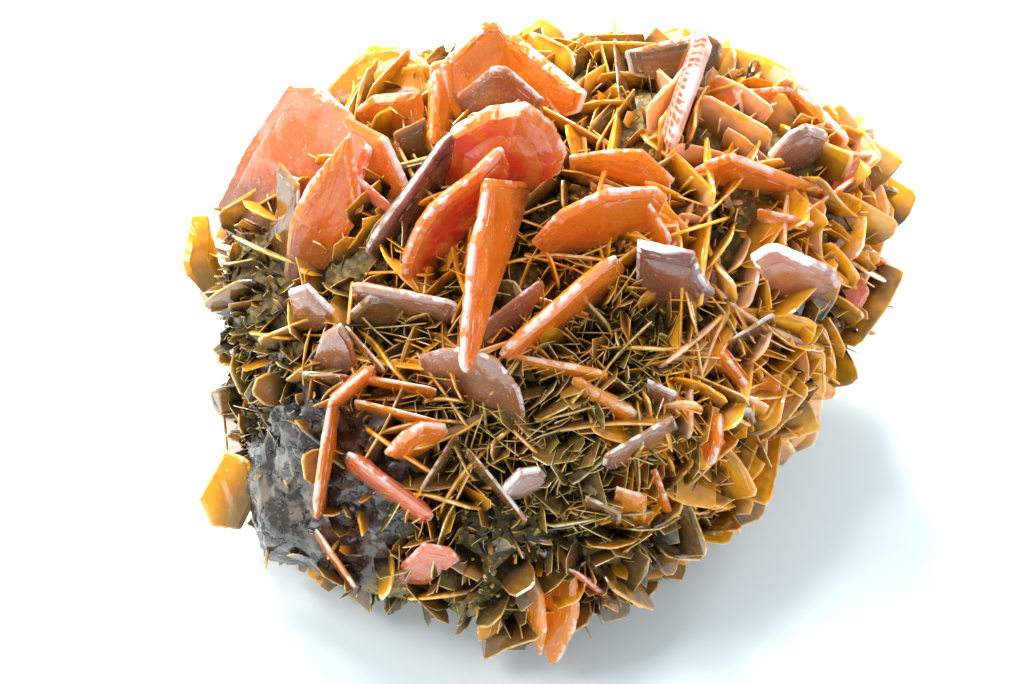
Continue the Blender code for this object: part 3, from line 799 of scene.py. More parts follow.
# The large crystals by the solid that they belong to
CRYSTALS: dict[str, tuple[Tablet, ...]] = {
    "rose_fan": (
        Tablet("pink_plate", Finish.ROSE, (281, 96), 9, (350, 112), 10, (290, 245), 1.8, (
            (290, 85), (318, 85), (350, 112), (372, 150), (350, 215), (300, 245), (232, 238),
            (218, 207), (250, 142))),
        Tablet("orange_prow", Finish.CORAL, (308, 184), 9, (360, 160), 9, (300, 298), 2.0, (
            (350, 132), (364, 206), (350, 232), (315, 285), (288, 298), (284, 270), (290, 220),
            (308, 184))),
        Tablet("right_flank", Finish.CORAL, (345, 115), 11, (400, 160), 6, (385, 215), 1.6, (
            (345, 115), (387, 138), (410, 188), (398, 208), (380, 200), (350, 135))),
        Tablet("khaki_plate", Finish.KHAKI, (279, 161), 8, (300, 185), 6, (285, 300), 0.8, (
            (279, 161), (300, 185), (296, 230), (284, 300), (262, 300), (266, 240), (281, 200))),
    ),
    "red_heart": (
        Tablet("red_plate", Finish.RED, (450, 129), 9, (553, 124), 12, (500, 215), 3.0, (
            (450, 129), (490, 107), (527, 103), (553, 124), (567, 153), (560, 172), (530, 190),
            (495, 196), (460, 200), (440, 178))),
        Tablet("grey_ridge", Finish.SILVER, (450, 130), 12, (364, 250), 5, (425, 215), 1.6, BLADE),
        Tablet("second_blade", Finish.RED, (502, 147), 15, (404, 268), 8, (455, 250), 1.8, (
            (502, 147), (475, 173), (432, 207), (418, 228), (403, 262), (403, 278), (425, 288),
            (455, 260), (490, 215), (508, 165))),
        Tablet("spire", Finish.CORAL, (486, 180), 16, (464, 362), 13, (528, 270), 1.6, (
            (486, 178), (527, 182), (512, 233), (487, 303), (473, 350), (466, 374), (461, 367),
            (466, 303), (472, 245), (481, 214))),
    ),
    "arch": (
        Tablet("arch_left_leg", Finish.ORANGE, (434, 70), 11, (430, 144), 6, (452, 108), 1.6, BLADE),
        Tablet("arch_plate", Finish.ORANGE, (441, 63), 11, (506, 34), 12, (490, 130), 1.6, (
            (441, 63), (483, 21), (496, 21), (506, 34), (540, 66), (520, 110), (460, 125), (445, 100))),
        Tablet("arch_right", Finish.ORANGE, (506, 34), 12, (587, 93), 8, (535, 130), 1.6, (
            (506, 34), (516, 34), (587, 93), (580, 112), (545, 125), (505, 80))),
        Tablet("inner_plate", Finish.LILAC, (480, 75), 9, (520, 78), 9, (500, 140), 1.2, (
            (493, 66), (507, 67), (545, 100), (540, 125), (490, 135), (455, 110), (457, 95))),
        Tablet("brown_plate", Finish.KHAKI, (393, 133), 6, (426, 117), 7, (412, 180), 1.0, (
            (393, 133), (426, 117), (432, 160), (415, 165), (396, 150))),
    ),
    "far_left_plate": (
        Tablet("left_yellow", Finish.YELLOW, (191, 216), 3, (214, 214), 2, (226, 285), 1.4, (
            (191, 216), (208, 215), (219, 262), (232, 290), (210, 300), (186, 275), (182, 262))),
    ),
    "back_yellow_plate": (
        Tablet("back_yellow", Finish.YELLOW, (345, 68), 5, (428, 62), 5, (380, 115), 1.5, (
            (327, 89), (345, 68), (370, 46), (400, 45), (428, 62), (430, 95), (380, 110), (330, 105))),
    ),
    "back_orange_plate": (
        Tablet("back_orange", Finish.ORANGE, (373, 95), 6, (423, 91), 5, (398, 142), 1.4, (
            (354, 110), (373, 95), (421, 91), (425, 108), (421, 126), (387, 138), (362, 124))),
    ),
    "long_blade": (
        Tablet("long_blade", Finish.ORANGE, (498, 354), 9, (614, 254), 12, (572, 318), 1.6, BLADE),
    ),
    "violet_plate": (
        Tablet("violet_plate", Finish.VIOLET, (632, 238), 9, (695, 252), 9, (670, 325), 2.0, (
            (637, 240), (695, 252), (702, 275), (716, 292), (690, 312), (657, 310), (636, 290))),
    ),
    "golden_terrace": (
        Tablet("golden_band", Finish.AMBER, (573, 376), 6, (638, 413), 6, (600, 412), 1.5, BLADE),
    ),
    "frosted_slab": (
        Tablet("frosted_slab", Finish.LILAC, (480, 326), 7, (541, 281), 8, (515, 350), 1.0, (
            (480, 326), (539, 280), (545, 285), (520, 325), (497, 355), (478, 350))),
    ),
    "low_frosted_plate": (
        Tablet("low_frosted", Finish.LILAC, (430, 350), 7, (520, 389), 7, (465, 420), 1.0, (
            (419, 355), (444, 348), (476, 351), (497, 359), (520, 389), (526, 415), (515, 425),
            (485, 415), (450, 395), (420, 372))),
    ),
    "orange_bow": (
        Tablet("arch_orange", Finish.ORANGE, (559, 212), 9, (658, 187), 10, (600, 260), 1.8, (
            (531, 242), (559, 212), (605, 190), (658, 187), (668, 196), (655, 222), (600, 240),
            (550, 258))),
        Tablet("orange_fin", Finish.ORANGE, (648, 200), 9, (672, 240), 7, (650, 245), 1.2, BLADE),
    ),
    "pillar_gable": (
        Tablet("pillar", Finish.PILLAR, (706, 38), 15, (669, 150), 10, (684, 78), 2.4, BLADE),
        Tablet("roof_plate", Finish.KHAKI, (625, 51), 8, (704, 32), 9, (680, 105), 1.4, (
            (625, 51), (704, 32), (722, 42), (720, 70), (680, 85), (630, 75))),
    ),
    "orange_face": (
        Tablet("orange_face", Finish.ORANGE, (712, 71), 8, (740, 95), 6, (705, 135), 1.4, (
            (716, 74), (735, 84), (742, 100), (726, 115), (706, 125), (702, 104))),
    ),
    "frame_plate": (
        Tablet("frame_plate", Finish.ORANGE, (797, 86), 10, (849, 137), 9, (815, 140), 1.8, BLADE),
    ),
    "right_face": (
        Tablet("right_face", Finish.ROSE, (858, 157), 7, (874, 190), 5, (830, 225), 1.4, (
            (858, 157), (874, 190), (867, 220), (844, 242), (824, 212), (839, 172))),
    ),
    "round_plate": (
        Tablet("round_plate", Finish.LILAC, (783, 136), 10, (827, 131), 10, (800, 176), 1.6, (
            (768, 155), (788, 133), (806, 124), (826, 131), (829, 142), (806, 168), (775, 172))),
    ),
    "gold_band": (
        Tablet("gold_band", Finish.AMBER, (600, 151), 7, (660, 165), 7, (622, 190), 1.4, (
            (569, 156), (615, 150), (643, 150), (675, 180), (663, 192), (607, 182), (569, 172))),
    ),
    "orange_band": (
        Tablet("orange_band", Finish.ORANGE, (690, 160), 7, (800, 180), 7, (752, 192), 1.4, (
            (688, 172), (712, 160), (730, 154), (775, 171), (826, 189), (819, 198), (780, 192),
            (724, 182), (690, 187))),
    ),
    "rose_shelf": (
        Tablet("pink_right", Finish.BLUSH, (765, 248), 8, (834, 270), 7, (793, 306), 1.8, (
            (765, 246), (778, 244), (836, 270), (841, 285), (800, 306), (772, 292), (750, 256))),
    ),
    "flat_blade_steps": (
        Tablet("flat_blade", Finish.LILAC, (352, 282), 8, (458, 302), 9, (402, 318), 1.3, BLADE),
        Tablet("olive_plate", Finish.KHAKI, (345, 305), 5, (405, 298), 5, (375, 345), 1.2, (
            (346, 316), (370, 293), (410, 300), (395, 325), (358, 330))),
    ),
    "lilac_lump": (
        Tablet("lilac_lump", Finish.LILAC, (288, 290), 7, (330, 300), 7, (310, 345), 1.4, (
            (288, 290), (308, 284), (335, 311), (321, 330), (298, 328))),
    ),
    "crescents": (
        Tablet("crescent_upper", Finish.ORANGE, (328, 402), 8, (372, 365), 9, (356, 392), 1.3, BLADE),
        Tablet("crescent_lower", Finish.ORANGE, (331, 396), 8, (314, 518), 6, (330, 462), 1.1, BLADE),
    ),
    "brown_frosted_plate": (
        Tablet("brown_frosted", Finish.LILAC, (322, 334), 6, (354, 341), 6, (340, 395), 1.4, (
            (311, 366), (322, 334), (341, 323), (352, 341), (358, 364), (336, 380))),
    ),
    "orange_leaf": (
        Tablet("orange_leaf", Finish.ORANGE, (385, 450), 6, (446, 426), 6, (414, 458), 1.5, (
            (384, 453), (400, 436), (423, 423), (446, 425), (448, 431), (421, 450), (400, 460))),
    ),
    "pink_lath": (
        Tablet("pink_lath", Finish.ROSE, (348, 451), 6, (434, 515), 6, (386, 495), 1.5, BLADE),
    ),
    "left_amber_plate": (
        Tablet("left_amber", Finish.YELLOW, (205, 486), 0, (226, 449), 2, (255, 500), 1.3, (
            (226, 449), (198, 499), (212, 527), (240, 530), (255, 500), (250, 460))),
    ),
    "pinkish_plate": (
        Tablet("pinkish_plate", Finish.ROSE, (420, 545), 5, (460, 559), 4, (425, 595), 1.0, (
            (423, 543), (451, 548), (460, 559), (428, 582), (398, 582), (400, 565))),
    ),
    "bright_facet": (
        Tablet("bright_facet", Finish.PALE, (502, 489), 8, (540, 468), 9, (523, 498), 1.4, (
            (502, 489), (519, 471), (540, 468), (546, 474), (539, 490), (507, 497))),
    ),
    "foot_plates": (
        Tablet("bottom_big", Finish.AMBER, (548, 660), 4, (578, 615), 5, (552, 545), 1.4, (
            (542, 571), (551, 553), (562, 549), (576, 572), (579, 611), (574, 632), (559, 662),
            (551, 665), (544, 650), (541, 610))),
        Tablet("bottom_left", Finish.AMBER, (541, 656), 3, (545, 615), 6, (520, 560), 1.2, (
            (522, 564), (534, 576), (543, 597), (546, 630), (541, 656), (535, 647), (527, 623),
            (530, 597))),
    ),
    "peach_plate": (
        Tablet("peach_plate", Finish.YELLOW, (478, 640), 3, (503, 632), 4, (485, 595), 1.2, (
            (475, 605), (497, 612), (505, 630), (490, 646), (478, 640))),
    ),
    "striped_plate": (
        Tablet("striped_plate", Finish.LILAC, (647, 379), 5, (678, 393), 5, (660, 430), 1.2, (
            (647, 379), (678, 393), (675, 418), (648, 412))),
    ),
    "beige_plate": (
        Tablet("beige_plate", Finish.LILAC, (605, 458), 6, (673, 420), 6, (641, 462), 1.0, (
            (605, 455), (639, 435), (673, 416), (678, 428), (652, 457), (618, 473), (602, 465))),
    ),
    "tan_plate": (
        Tablet("tan_plate", Finish.KHAKI, (721, 410), 5, (755, 412), 5, (735, 460), 1.4, (
            (727, 411), (752, 408), (757, 424), (737, 442), (724, 444))),
    ),
    "orange_post": (
        Tablet("orange_post", Finish.ORANGE, (719, 413), 7, (712, 462), 6, (700, 440), 1.3, (
            (704, 416), (721, 413), (721, 440), (714, 463), (700, 473), (699, 440))),
    ),
    "rim_amber_plates": (
        Tablet("rim_amber", Finish.AMBER, (780, 376), 5, (780, 421), 4, (745, 415), 1.4, (
            (748, 380), (782, 374), (780, 421), (752, 446), (738, 420))),
        Tablet("rim_corner", Finish.YELLOW, (796, 450), 1, (777, 421), 3, (755, 455), 1.2, (
            (763, 438), (777, 421), (796, 450), (783, 465), (758, 460))),
        Tablet("orange_stub", Finish.ORANGE, (722, 350), 6, (751, 389), 5, (730, 378), 1.4, BLADE),
    ),
    "rim_yellow_plate": (
        Tablet("rim_yellow", Finish.YELLOW, (814, 355), 2, (815, 399), 1, (785, 385), 1.2, (
            (798, 364), (814, 353), (815, 399), (797, 400), (790, 385))),
    ),
    "rim_pink_plate": (
        Tablet("rim_pink", Finish.ROSE, (871, 268), 3, (856, 320), 3, (830, 308), 1.4, (
            (831, 288), (862, 272), (870, 292), (854, 322), (830, 330))),
    ),
    "rim_tip": (
        Tablet("rim_tip", Finish.ORANGE, (893, 263), 0, (871, 246), 1, (852, 252), 1.2, (
            (852, 246), (873, 250), (893, 263), (891, 278), (866, 268), (850, 258))),
    ),
}

# Thin blades of the crust, fused with the rock
CRUST: tuple[Tablet, ...] = (
    Tablet("flank_blade", Finish.ROSE, (341, 161), 9, (394, 207), 6, (360, 200), 1.0, BLADE),
    Tablet("needle", Finish.KHAKI, (613, 38), 9, (619, 100), 6, (628, 72), 0.7, BLADE),
    Tablet("frame_side", Finish.ORANGE, (737, 90), 8, (792, 86), 10, (770, 125), 1.2, BLADE),
    Tablet("band_blade", Finish.ORANGE, (757, 208), 7, (814, 222), 6, (785, 232), 1.3, BLADE),
    Tablet("right_blade", Finish.ORANGE, (805, 212), 7, (855, 176), 6, (830, 205), 1.0, BLADE),
    Tablet("brown_blade", Finish.KHAKI, (346, 325), 7, (386, 370), 6, (360, 355), 1.0, BLADE),
    Tablet("brown_fin", Finish.KHAKI, (302, 371), 5, (350, 375), 6, (327, 392), 0.9, BLADE),
    Tablet("thin_cross", Finish.AMBER, (354, 374), 6, (437, 388), 6, (395, 392), 0.9, BLADE),
    Tablet("thin_lower", Finish.AMBER, (354, 399), 6, (442, 421), 6, (398, 422), 0.9, BLADE),
    Tablet("lower_blade", Finish.ORANGE, (316, 528), 5, (356, 587), 5, (334, 562), 1.0, BLADE),
    Tablet("steep_blade", Finish.KHAKI, (468, 447), 8, (528, 520), 6, (492, 495), 0.9, BLADE),
    Tablet("cross_blade", Finish.KHAKI, (419, 490), 5, (455, 433), 6, (447, 470), 0.9, BLADE),
    Tablet("pink_foot_blade", Finish.ROSE, (578, 572), 6, (620, 606), 4, (588, 585), 1.0, BLADE),
    Tablet("golden_blade", Finish.AMBER, (508, 353), 6, (608, 372), 6, (560, 385), 1.3, BLADE),
    Tablet("low_orange", Finish.ORANGE, (656, 467), 5, (673, 516), 5, (652, 500), 1.2, BLADE),
    Tablet("low_tan", Finish.KHAKI, (585, 495), 5, (622, 514), 5, (600, 530), 1.2, (
        (585, 495), (622, 512), (620, 528), (602, 527), (583, 511))),
    Tablet("clear_tan", Finish.AMBER, (620, 488), 5, (647, 497), 5, (628, 545), 1.2, (
        (616, 486), (647, 495), (646, 523), (627, 530), (612, 510))),
    Tablet("tan_blade", Finish.KHAKI, (727, 341), 5, (774, 312), 5, (755, 340), 1.1, BLADE),
)


@dataclass(frozen=True)
class Slabs:
    """Many small plates at once: flat outlines on their own axes, given thickness and a bevelled rim.

    Foot is where a plate stands, side and stem are its axes across and up, and form is its outline
    on them. A face keeps at least the share least_face of the outline.
    """

    foot: np.ndarray
    side: np.ndarray
    stem: np.ndarray
    form: np.ndarray
    thickness: np.ndarray
    tone: np.ndarray
    bend: np.ndarray
    bevel: float
    land: float = 0.3
    taper: float = 0.35
    least_face: float = 0.35

    def surface(self) -> Surface:
        """Four rings per plate: front face edge, two at the rim, back face edge, with flat caps.

        A face edge is the rim drawn toward the outline's middle by the bevel over each corner's
        distance from it, and the half thickness shrinks with the height up the stem. The bend
        moves a corner off the plane by the square of its place across, as a share of the width.

        Returns:
            All plates, with inset 0 at the rim and 1 on the faces, foot and tone as values.
        """
        count, corners = self.form.shape[:2]
        centre = self.form.mean(axis=1, keepdims=True)
        arm = self.form - centre
        reach = np.linalg.norm(arm, axis=-1, keepdims=True)
        inner = centre + arm * np.clip(1 - self.bevel / reach, self.least_face, 1)
        flat = np.stack((inner, self.form, self.form, inner), axis=1)
        rise = np.clip(flat[..., 1] / self.form[..., 1].max(axis=1)[:, None, None], 0, 1)
        half = self.thickness[:, None, None] / 2 * (1 - self.taper * rise)
        height = half * np.array((1, self.land, -self.land, -1))[None, :, None]
        rings = flat.shape[1]
        width = np.abs(self.form[..., 0]).max(axis=1)[:, None, None]
        height = height + self.bend[:, None, None] * (flat[..., 0] / width) ** 2
        normal = np.cross(self.side, self.stem)
        points = self.foot[:, None, None] + sum(
            amount[..., None] * axis[:, None, None]
            for amount, axis in ((flat[..., 0], self.side), (flat[..., 1], self.stem), (height, normal))
        )
        start = np.arange(count)[:, None, None] * rings * corners
        groups = slab_faces(rings, corners)
        faces = [(start + group[None]).reshape(-1, group.shape[1]) for group in groups]
        inset = np.broadcast_to(np.array((1.0, 0.0, 0.0, 1.0))[None, :, None], rise.shape)
        values = {
            "inset": inset.ravel(),
            "foot": (1 - rise).ravel(),
            "tone": np.repeat(self.tone, rings * corners),
        }
        return Surface(points.reshape(-1, 3), faces, values)


def rounded(forms: np.ndarray, share: float = 0.16) -> np.ndarray:
    """Outlines with each corner cut: two new corners on every side, a share of it in from its ends.

    Args:
        forms: Corners of closed outlines, (count, corners, 2).
        share: How much of a side is cut off at either end.

    Returns:
        Outlines with twice the corners.
    """
    following, rest = np.roll(forms, -1, axis=1), 1 - share
    cut = np.stack((rest * forms + share * following, share * forms + rest * following), axis=2)
    return cut.reshape(len(forms), -1, 2)


# The small plates' tone low in the picture, what it gains upward, its scatter and its shifts by place
LOW_TONE, TONE_GAIN, TONE_SCATTER = 0.34, 0.24, 0.18
TONE_RISE = (-12 * MM, 18 * MM)
TONE_SHIFTS = ((LEFT_FLANK, -0.22), (THICKET, -0.12), (UPPER_RIGHT, 0.2), (GOLDEN_SIDE, 0.3))

# What bare rock, the hollow and the left flank take from the chance of growth, and what stays at least
BARE_LOSS, HOLLOW_LOSS, FLANK_LOSS, LEAST_CHANCE = 0.97, 0.85, 0.8, 0.02


def tones_at(points: np.ndarray, rng: np.random.Generator) -> np.ndarray:
    """Tone of small plates by where they grow: olive on the left and in the thicket, amber at the right.

    Args:
        points: Where they grow, (N, 3).
        rng: Source of the scatter.

    Returns:
        Tones from 0, olive, over 0.5, amber, to 1, pinkish tan.
    """
    high = smooth_step((points - np.array(VIEW.centre)) @ VIEW.up, *TONE_RISE)
    tone = LOW_TONE + TONE_GAIN * high
    for patch, shift in TONE_SHIFTS:
        tone += shift * patch.share(points)
    return np.clip(tone + rng.normal(0, TONE_SCATTER, len(points)), 0, 1)


def anywhere(points: np.ndarray) -> np.ndarray:
    """Chance that a plate grows at each point: few on grey faces, in the hollow and on the left flank.

    Args:
        points: World points, (N, 3).

    Returns:
        One chance per point.
    """
    bare = np.maximum(BARE_FACE.share(points), LEFT_FACE.share(points))
    kept = 1 - BARE_LOSS * bare - HOLLOW_LOSS * HOLLOW.share(points)
    return np.clip(kept - FLANK_LOSS * LEFT_FLANK.share(points), LEAST_CHANCE, 1)


def off_grey_face(points: np.ndarray) -> np.ndarray:
    """Chance that a small blade grows at each point: even, but for the grey face and the hollow."""
    kept = 1 - BARE_LOSS * BARE_FACE.share(points) - HOLLOW_LOSS * HOLLOW.share(points)
    return np.clip(kept, LEAST_CHANCE, 1)


def on_upper_side(points: np.ndarray) -> np.ndarray:
    """Chance that a broad plate grows at each point: as anywhere, but fewer near the table."""
    return anywhere(points) * (0.2 + 0.8 * smooth_step(points[:, 2], 6 * MM, 20 * MM))


def on_flanks(points: np.ndarray) -> np.ndarray:
    """Chance that a druse blade grows at each point: most on the left flank, few on the grey face."""
    return np.clip(0.25 + 0.75 * LEFT_FLANK.share(points) - 0.3 * BARE_FACE.share(points), 0, 1)


def in_thicket(points: np.ndarray) -> np.ndarray:
    """Chance that a thin blade grows at each point of the thicket."""
    return THICKET.share(points)


def on_golden_side(points: np.ndarray) -> np.ndarray:
    """Chance that a shingle grows at each point: on the golden side, the upper right and the back."""
    behind = 1 - smooth_step(VIEW.ahead(points), -8 * MM, 4 * MM)
    return np.clip(np.maximum(GOLDEN_SIDE.share(points), UPPER_RIGHT.share(points)) + 0.12 * behind, 0, 1)


def on_grey_face(points: np.ndarray) -> np.ndarray:
    """Chance that a lone blade grows at each point: on the grey face, and fewer in the hollow."""
    return np.maximum(BARE_FACE.share(points), 0.6 * HOLLOW.share(points))


def on_rims(points: np.ndarray) -> np.ndarray:
    """Chance of a grain: most where the surface turns away from the viewer, few on the grey face."""
    turned = 1 - smooth_step(VIEW.ahead(points), 2 * MM, 15 * MM)
    return np.clip(0.25 + 0.75 * turned, 0, 1) * (1 - 0.9 * BARE_FACE.share(points))


@dataclass(frozen=True)
class Growth:
    """One kind of small plate that stands all over a part of the rock.

    Facing turns stems upward in the picture and plates toward the viewer, and stray is how far they
    turn away from that. Upper corners lie on an arc of the given reach, each at its own place in
    its step, and never below the share lowest of the height.
    """

    name: str
    count: int
    seed: int
    width: Pair
    height: Pair
    thickness: Pair
    chance: Callable[[np.ndarray], np.ndarray] = anywhere
    lean: float = 0.4
    bevel: float = 0.15 * MM
    root: float = 1.2 * MM
    clearance: float = 0.4 * MM
    corners: int = 6
    tone_shift: float = 0.0
    bend: float = 0.05
    facing: float = 0.0
    stray: float = 0.25
    angles: tuple[float, ...] = (6, 42, -32, 84)
    rounded: bool = False
    slope: float = 0.7
    tries: int = 12
    place: Pair = (0.25, 0.75)
    reach: Pair = (0.72, 1.25)
    lowest: float = 0.35
    evenness: float = 0.85
    foothold: float = 0.42

    def seats(self, rng: np.random.Generator) -> np.ndarray:
        """Directions from the rock's centre, drawn evenly and kept by the growth's chance there.

        Args:
            rng: Source of the directions.

        Returns:
            Unit directions, (count, 3) or fewer.
        """
        directions = unit(rng.normal(size=(self.count * self.tries, 3)))
        points = ROCK.points(directions)
        kept = rng.uniform(size=len(points)) < self.chance(points)
        kept &= points[:, 2] > self.clearance
        return directions[kept][: self.count]

    def families(self, count: int, rng: np.random.Generator) -> np.ndarray:
        """Directions square to the plates: each plate takes one of a few angles in the picture.

        Args:
            count: How many directions.
            rng: Source of the choice.

        Returns:
            Unit vectors, (count, 3).
        """
        angles = np.radians(rng.choice(self.angles, count))[:, None]
        return np.cos(angles) * VIEW.up - np.sin(angles) * VIEW.right

    def forms(self, count: int, rng: np.random.Generator) -> np.ndarray:
        """Outlines: an upper half circle of corners with random reach, squared and then slanted.

        The foot is straight, and the slant makes a corner higher by its place across times a
        random slope.

        Args:
            count: How many outlines.
            rng: Source of their sizes.

        Returns:
            Corners across and up in metres, (count, corners, 2).
        """
        width, height = (rng.uniform(*size, (count, 1)) for size in (self.width, self.height))
        upper = self.corners - 2
        aside, upward = self.reach
        angles = math.pi * (np.arange(upper) + rng.uniform(*self.place, (count, upper))) / upper
        across = np.clip(aside * np.cos(angles), -0.5, 0.5) * width
        rise = np.clip(upward * np.sin(angles), self.lowest, 1) * height
        rise = rise * rng.uniform(self.evenness, 1, (count, upper))
        rise = rise * (1 + rng.uniform(-self.slope, self.slope, (count, 1)) * across / width)
        feet = np.full((count, 1), -self.root)
        across = np.concatenate((-self.foothold * width, self.foothold * width, across), axis=1)
        form = np.stack((across, np.concatenate((feet, feet, rise), axis=1)), axis=-1)
        return rounded(form) if self.rounded else form

    def slabs(self) -> Slabs:
        """The plates, standing on the rock along its normal with a random lean and turn.

        Returns:
            The plates that stay clear of the table.
        """
        rng = np.random.default_rng(self.seed)
        directions = self.seats(rng)
        foot = ROCK.points(directions)
        stem = unit(ROCK.normals(directions) + rng.normal(0, self.lean, foot.shape) + self.facing * VIEW.up)
        across = VIEW.toward if self.facing else self.families(len(foot), rng)
        side = unit(np.cross(stem, across + self.stray * rng.normal(size=foot.shape)))
        form = self.forms(len(foot), rng)
        levels = foot[:, None, 2] + form[..., 0] * side[:, None, 2] + form[..., 1] * stem[:, None, 2]
        kept = levels.min(axis=1) > self.clearance
        tone = np.clip(tones_at(foot, rng) + self.tone_shift, 0, 1)
        thickness = rng.uniform(*self.thickness, len(foot))
        bend = rng.uniform(-self.bend, self.bend, len(foot)) * np.ptp(form[..., 0], axis=1)
        parts = (foot, side, stem, form, thickness, tone, bend)
        return Slabs(*(part[kept] for part in parts), self.bevel)

    def build(self, material: bpy.types.Material) -> None:
        """Puts the plates into the scene as one piece.

        Args:
            material: Their finish.
        """
        piece = self.slabs().surface().piece(self.name, [material], None)


GROWTHS: tuple[Growth, ...] = (
    Growth(
        "broad_plates", 170, 21, (9 * MM, 15 * MM), (3.2 * MM, 5 * MM), (0.4 * MM, 0.7 * MM),
        chance=on_upper_side, lean=0.22, bevel=0.25 * MM, corners=7, tone_shift=0.05, bend=0.09,
        rounded=True,
    ),
    Growth(
        "shingle_plates", 160, 26, (5 * MM, 12 * MM), (3 * MM, 6 * MM), (0.4 * MM, 0.8 * MM),
        chance=on_golden_side, lean=0.35, bevel=0.3 * MM, corners=7, tone_shift=0.15, facing=0.45,
        stray=0.6, bend=0.1, rounded=True,
    ),
    Growth(
        "middle_plates", 600, 22, (5 * MM, 10 * MM), (2.2 * MM, 3.8 * MM), (0.2 * MM, 0.4 * MM),
        chance=on_upper_side, lean=0.25, bevel=0.15 * MM, corners=8, bend=0.08,
    ),
    Growth(
        "thin_blades", 1300, 23, (1.5 * MM, 5 * MM), (1.8 * MM, 3.8 * MM), (0.12 * MM, 0.28 * MM),
        chance=off_grey_face, lean=0.35, bevel=0.1 * MM,
    ),
    Growth(
        "thicket_blades", 260, 24, (2.5 * MM, 6.5 * MM), (3 * MM, 5.5 * MM), (0.14 * MM, 0.28 * MM),
        chance=in_thicket, lean=0.5, bevel=0.08 * MM, tone_shift=-0.05,
    ),
    Growth(
        "needles", 200, 27, (0.25 * MM, 0.6 * MM), (3 * MM, 6 * MM), (0.15 * MM, 0.3 * MM),
        chance=in_thicket, lean=0.8, bevel=0.08 * MM, tone_shift=-0.1,
    ),
    Growth(
        "flank_druse", 2200, 28, (0.5 * MM, 1.6 * MM), (0.9 * MM, 2.4 * MM), (0.1 * MM, 0.25 * MM),
        chance=on_flanks, lean=0.7, bevel=0.08 * MM,
    ),
    Growth(
        "lone_blades", 60, 25, (0.8 * MM, 3 * MM), (1.2 * MM, 3.2 * MM), (0.2 * MM, 0.5 * MM),
        chance=on_grey_face, lean=0.7, bevel=0.1 * MM, tone_shift=0.15,
    ),
)


@dataclass(frozen=True)
class SolidPlates:
    """The small plates that the rock's solid carries, at the same places, spread in a spiral.

    Peak and shoulders place the upper corners as shares of width and height, and slimness is the
    share of the solid's thickness that is kept. Where the picture shows bare rock, between the
    pixels bare_px, only one plate in bare_share grows.
    """

    seed: int = 5
    count: int = 118
    width: Pair = (4.5 * MM, 8.5 * MM)
    height: Pair = (3 * MM, 5.5 * MM)
    thickness: Pair = (0.9 * MM, 1.4 * MM)
    root: float = 1.5 * MM
    lean: float = 0.3
    scatter: float = 0.2
    peak: Pair = (-0.15, 0.3)
    shoulders: tuple[Pair, Pair] = ((0.5, 0.6), (-0.42, 0.85))
    clearance: float = 1 * MM
    back_growth: float = 1.3
    bare_share: int = 3
    slimness: float = 0.5
    bend: float = 0.08
    bevel: float = 0.3 * MM
    tone_shift: float = 0.05
    bare_px: tuple[Pixel, Pixel] = ((225, 400), (430, 590))

    def plate(self, index: int, rng: np.random.Generator) -> tuple[np.ndarray, ...] | None:
        """One plate's foot, side, stem, outline and thickness, or None where none grows.

        Args:
            index: Its number along the spiral, whose turn is the golden angle.
            rng: Source of its lean and sizes, drawn in a fixed order.

        Returns:
            The five parts, or None.
        """
        level = 1 - 2 * (index + 0.5) / self.count
        turn = index * math.pi * (3 - math.sqrt(5)) + rng.uniform(-self.scatter, self.scatter)
        ring = math.sqrt(1 - level * level)
        direction = np.array(((ring * math.cos(turn), ring * math.sin(turn), level),))
        foot = ROCK.points(direction)[0]
        stem = unit(ROCK.normals(direction)[0] + rng.normal(0, self.lean, 3))
        side = unit(np.cross(stem, rng.normal(0, 1, 3)))
        grown = self.back_growth if direction[0] @ VIEW.toward < 0 else 1
        width, tall = rng.uniform(*self.width) * grown, rng.uniform(*self.height) * grown
        (right, right_height), (left, left_height) = self.shoulders
        form = np.array((
            (-width / 2, -self.root), (width / 2, -self.root), (right * width, right_height * tall),
            (rng.uniform(*self.peak) * width, tall), (left * width, left_height * tall),
        ))
        thickness = rng.uniform(*self.thickness)
        lowest = (foot[2] + form[:, 0] * side[2] + form[:, 1] * stem[2]).min()
        (low_x, low_y), (high_x, high_y) = self.bare_px
        x, y = VIEW.pixels(foot)
        bare = VIEW.ahead(foot) > 0 and low_x < x < high_x and low_y < y < high_y
        if lowest < self.clearance or (bare and index % self.bare_share):
            return None
        return foot, side, stem, form, np.array(thickness)

    def slabs(self) -> Slabs:
        """All plates of the spiral that grow.

        Returns:
            The plates, slimmer than the solid's and with their corners cut.
        """
        rng = np.random.default_rng(self.seed)
        found = [self.plate(index, rng) for index in range(self.count)]
        grown = zip(*(plate for plate in found if plate))
        foot, side, stem, form, thickness = (np.array(part) for part in grown)
        tone = np.clip(tones_at(foot, rng) + self.tone_shift, 0, 1)
        bend = rng.uniform(-self.bend, self.bend, len(tone)) * np.ptp(form[..., 0], axis=1)
        return Slabs(foot, side, stem, rounded(form), self.slimness * thickness, tone, bend, self.bevel)

    def build(self, material: bpy.types.Material) -> None:
        """Puts the plates into the scene as one piece.

        Args:
            material: Their finish.
        """
        piece = self.slabs().surface().piece("spiral_plates", [material], None)


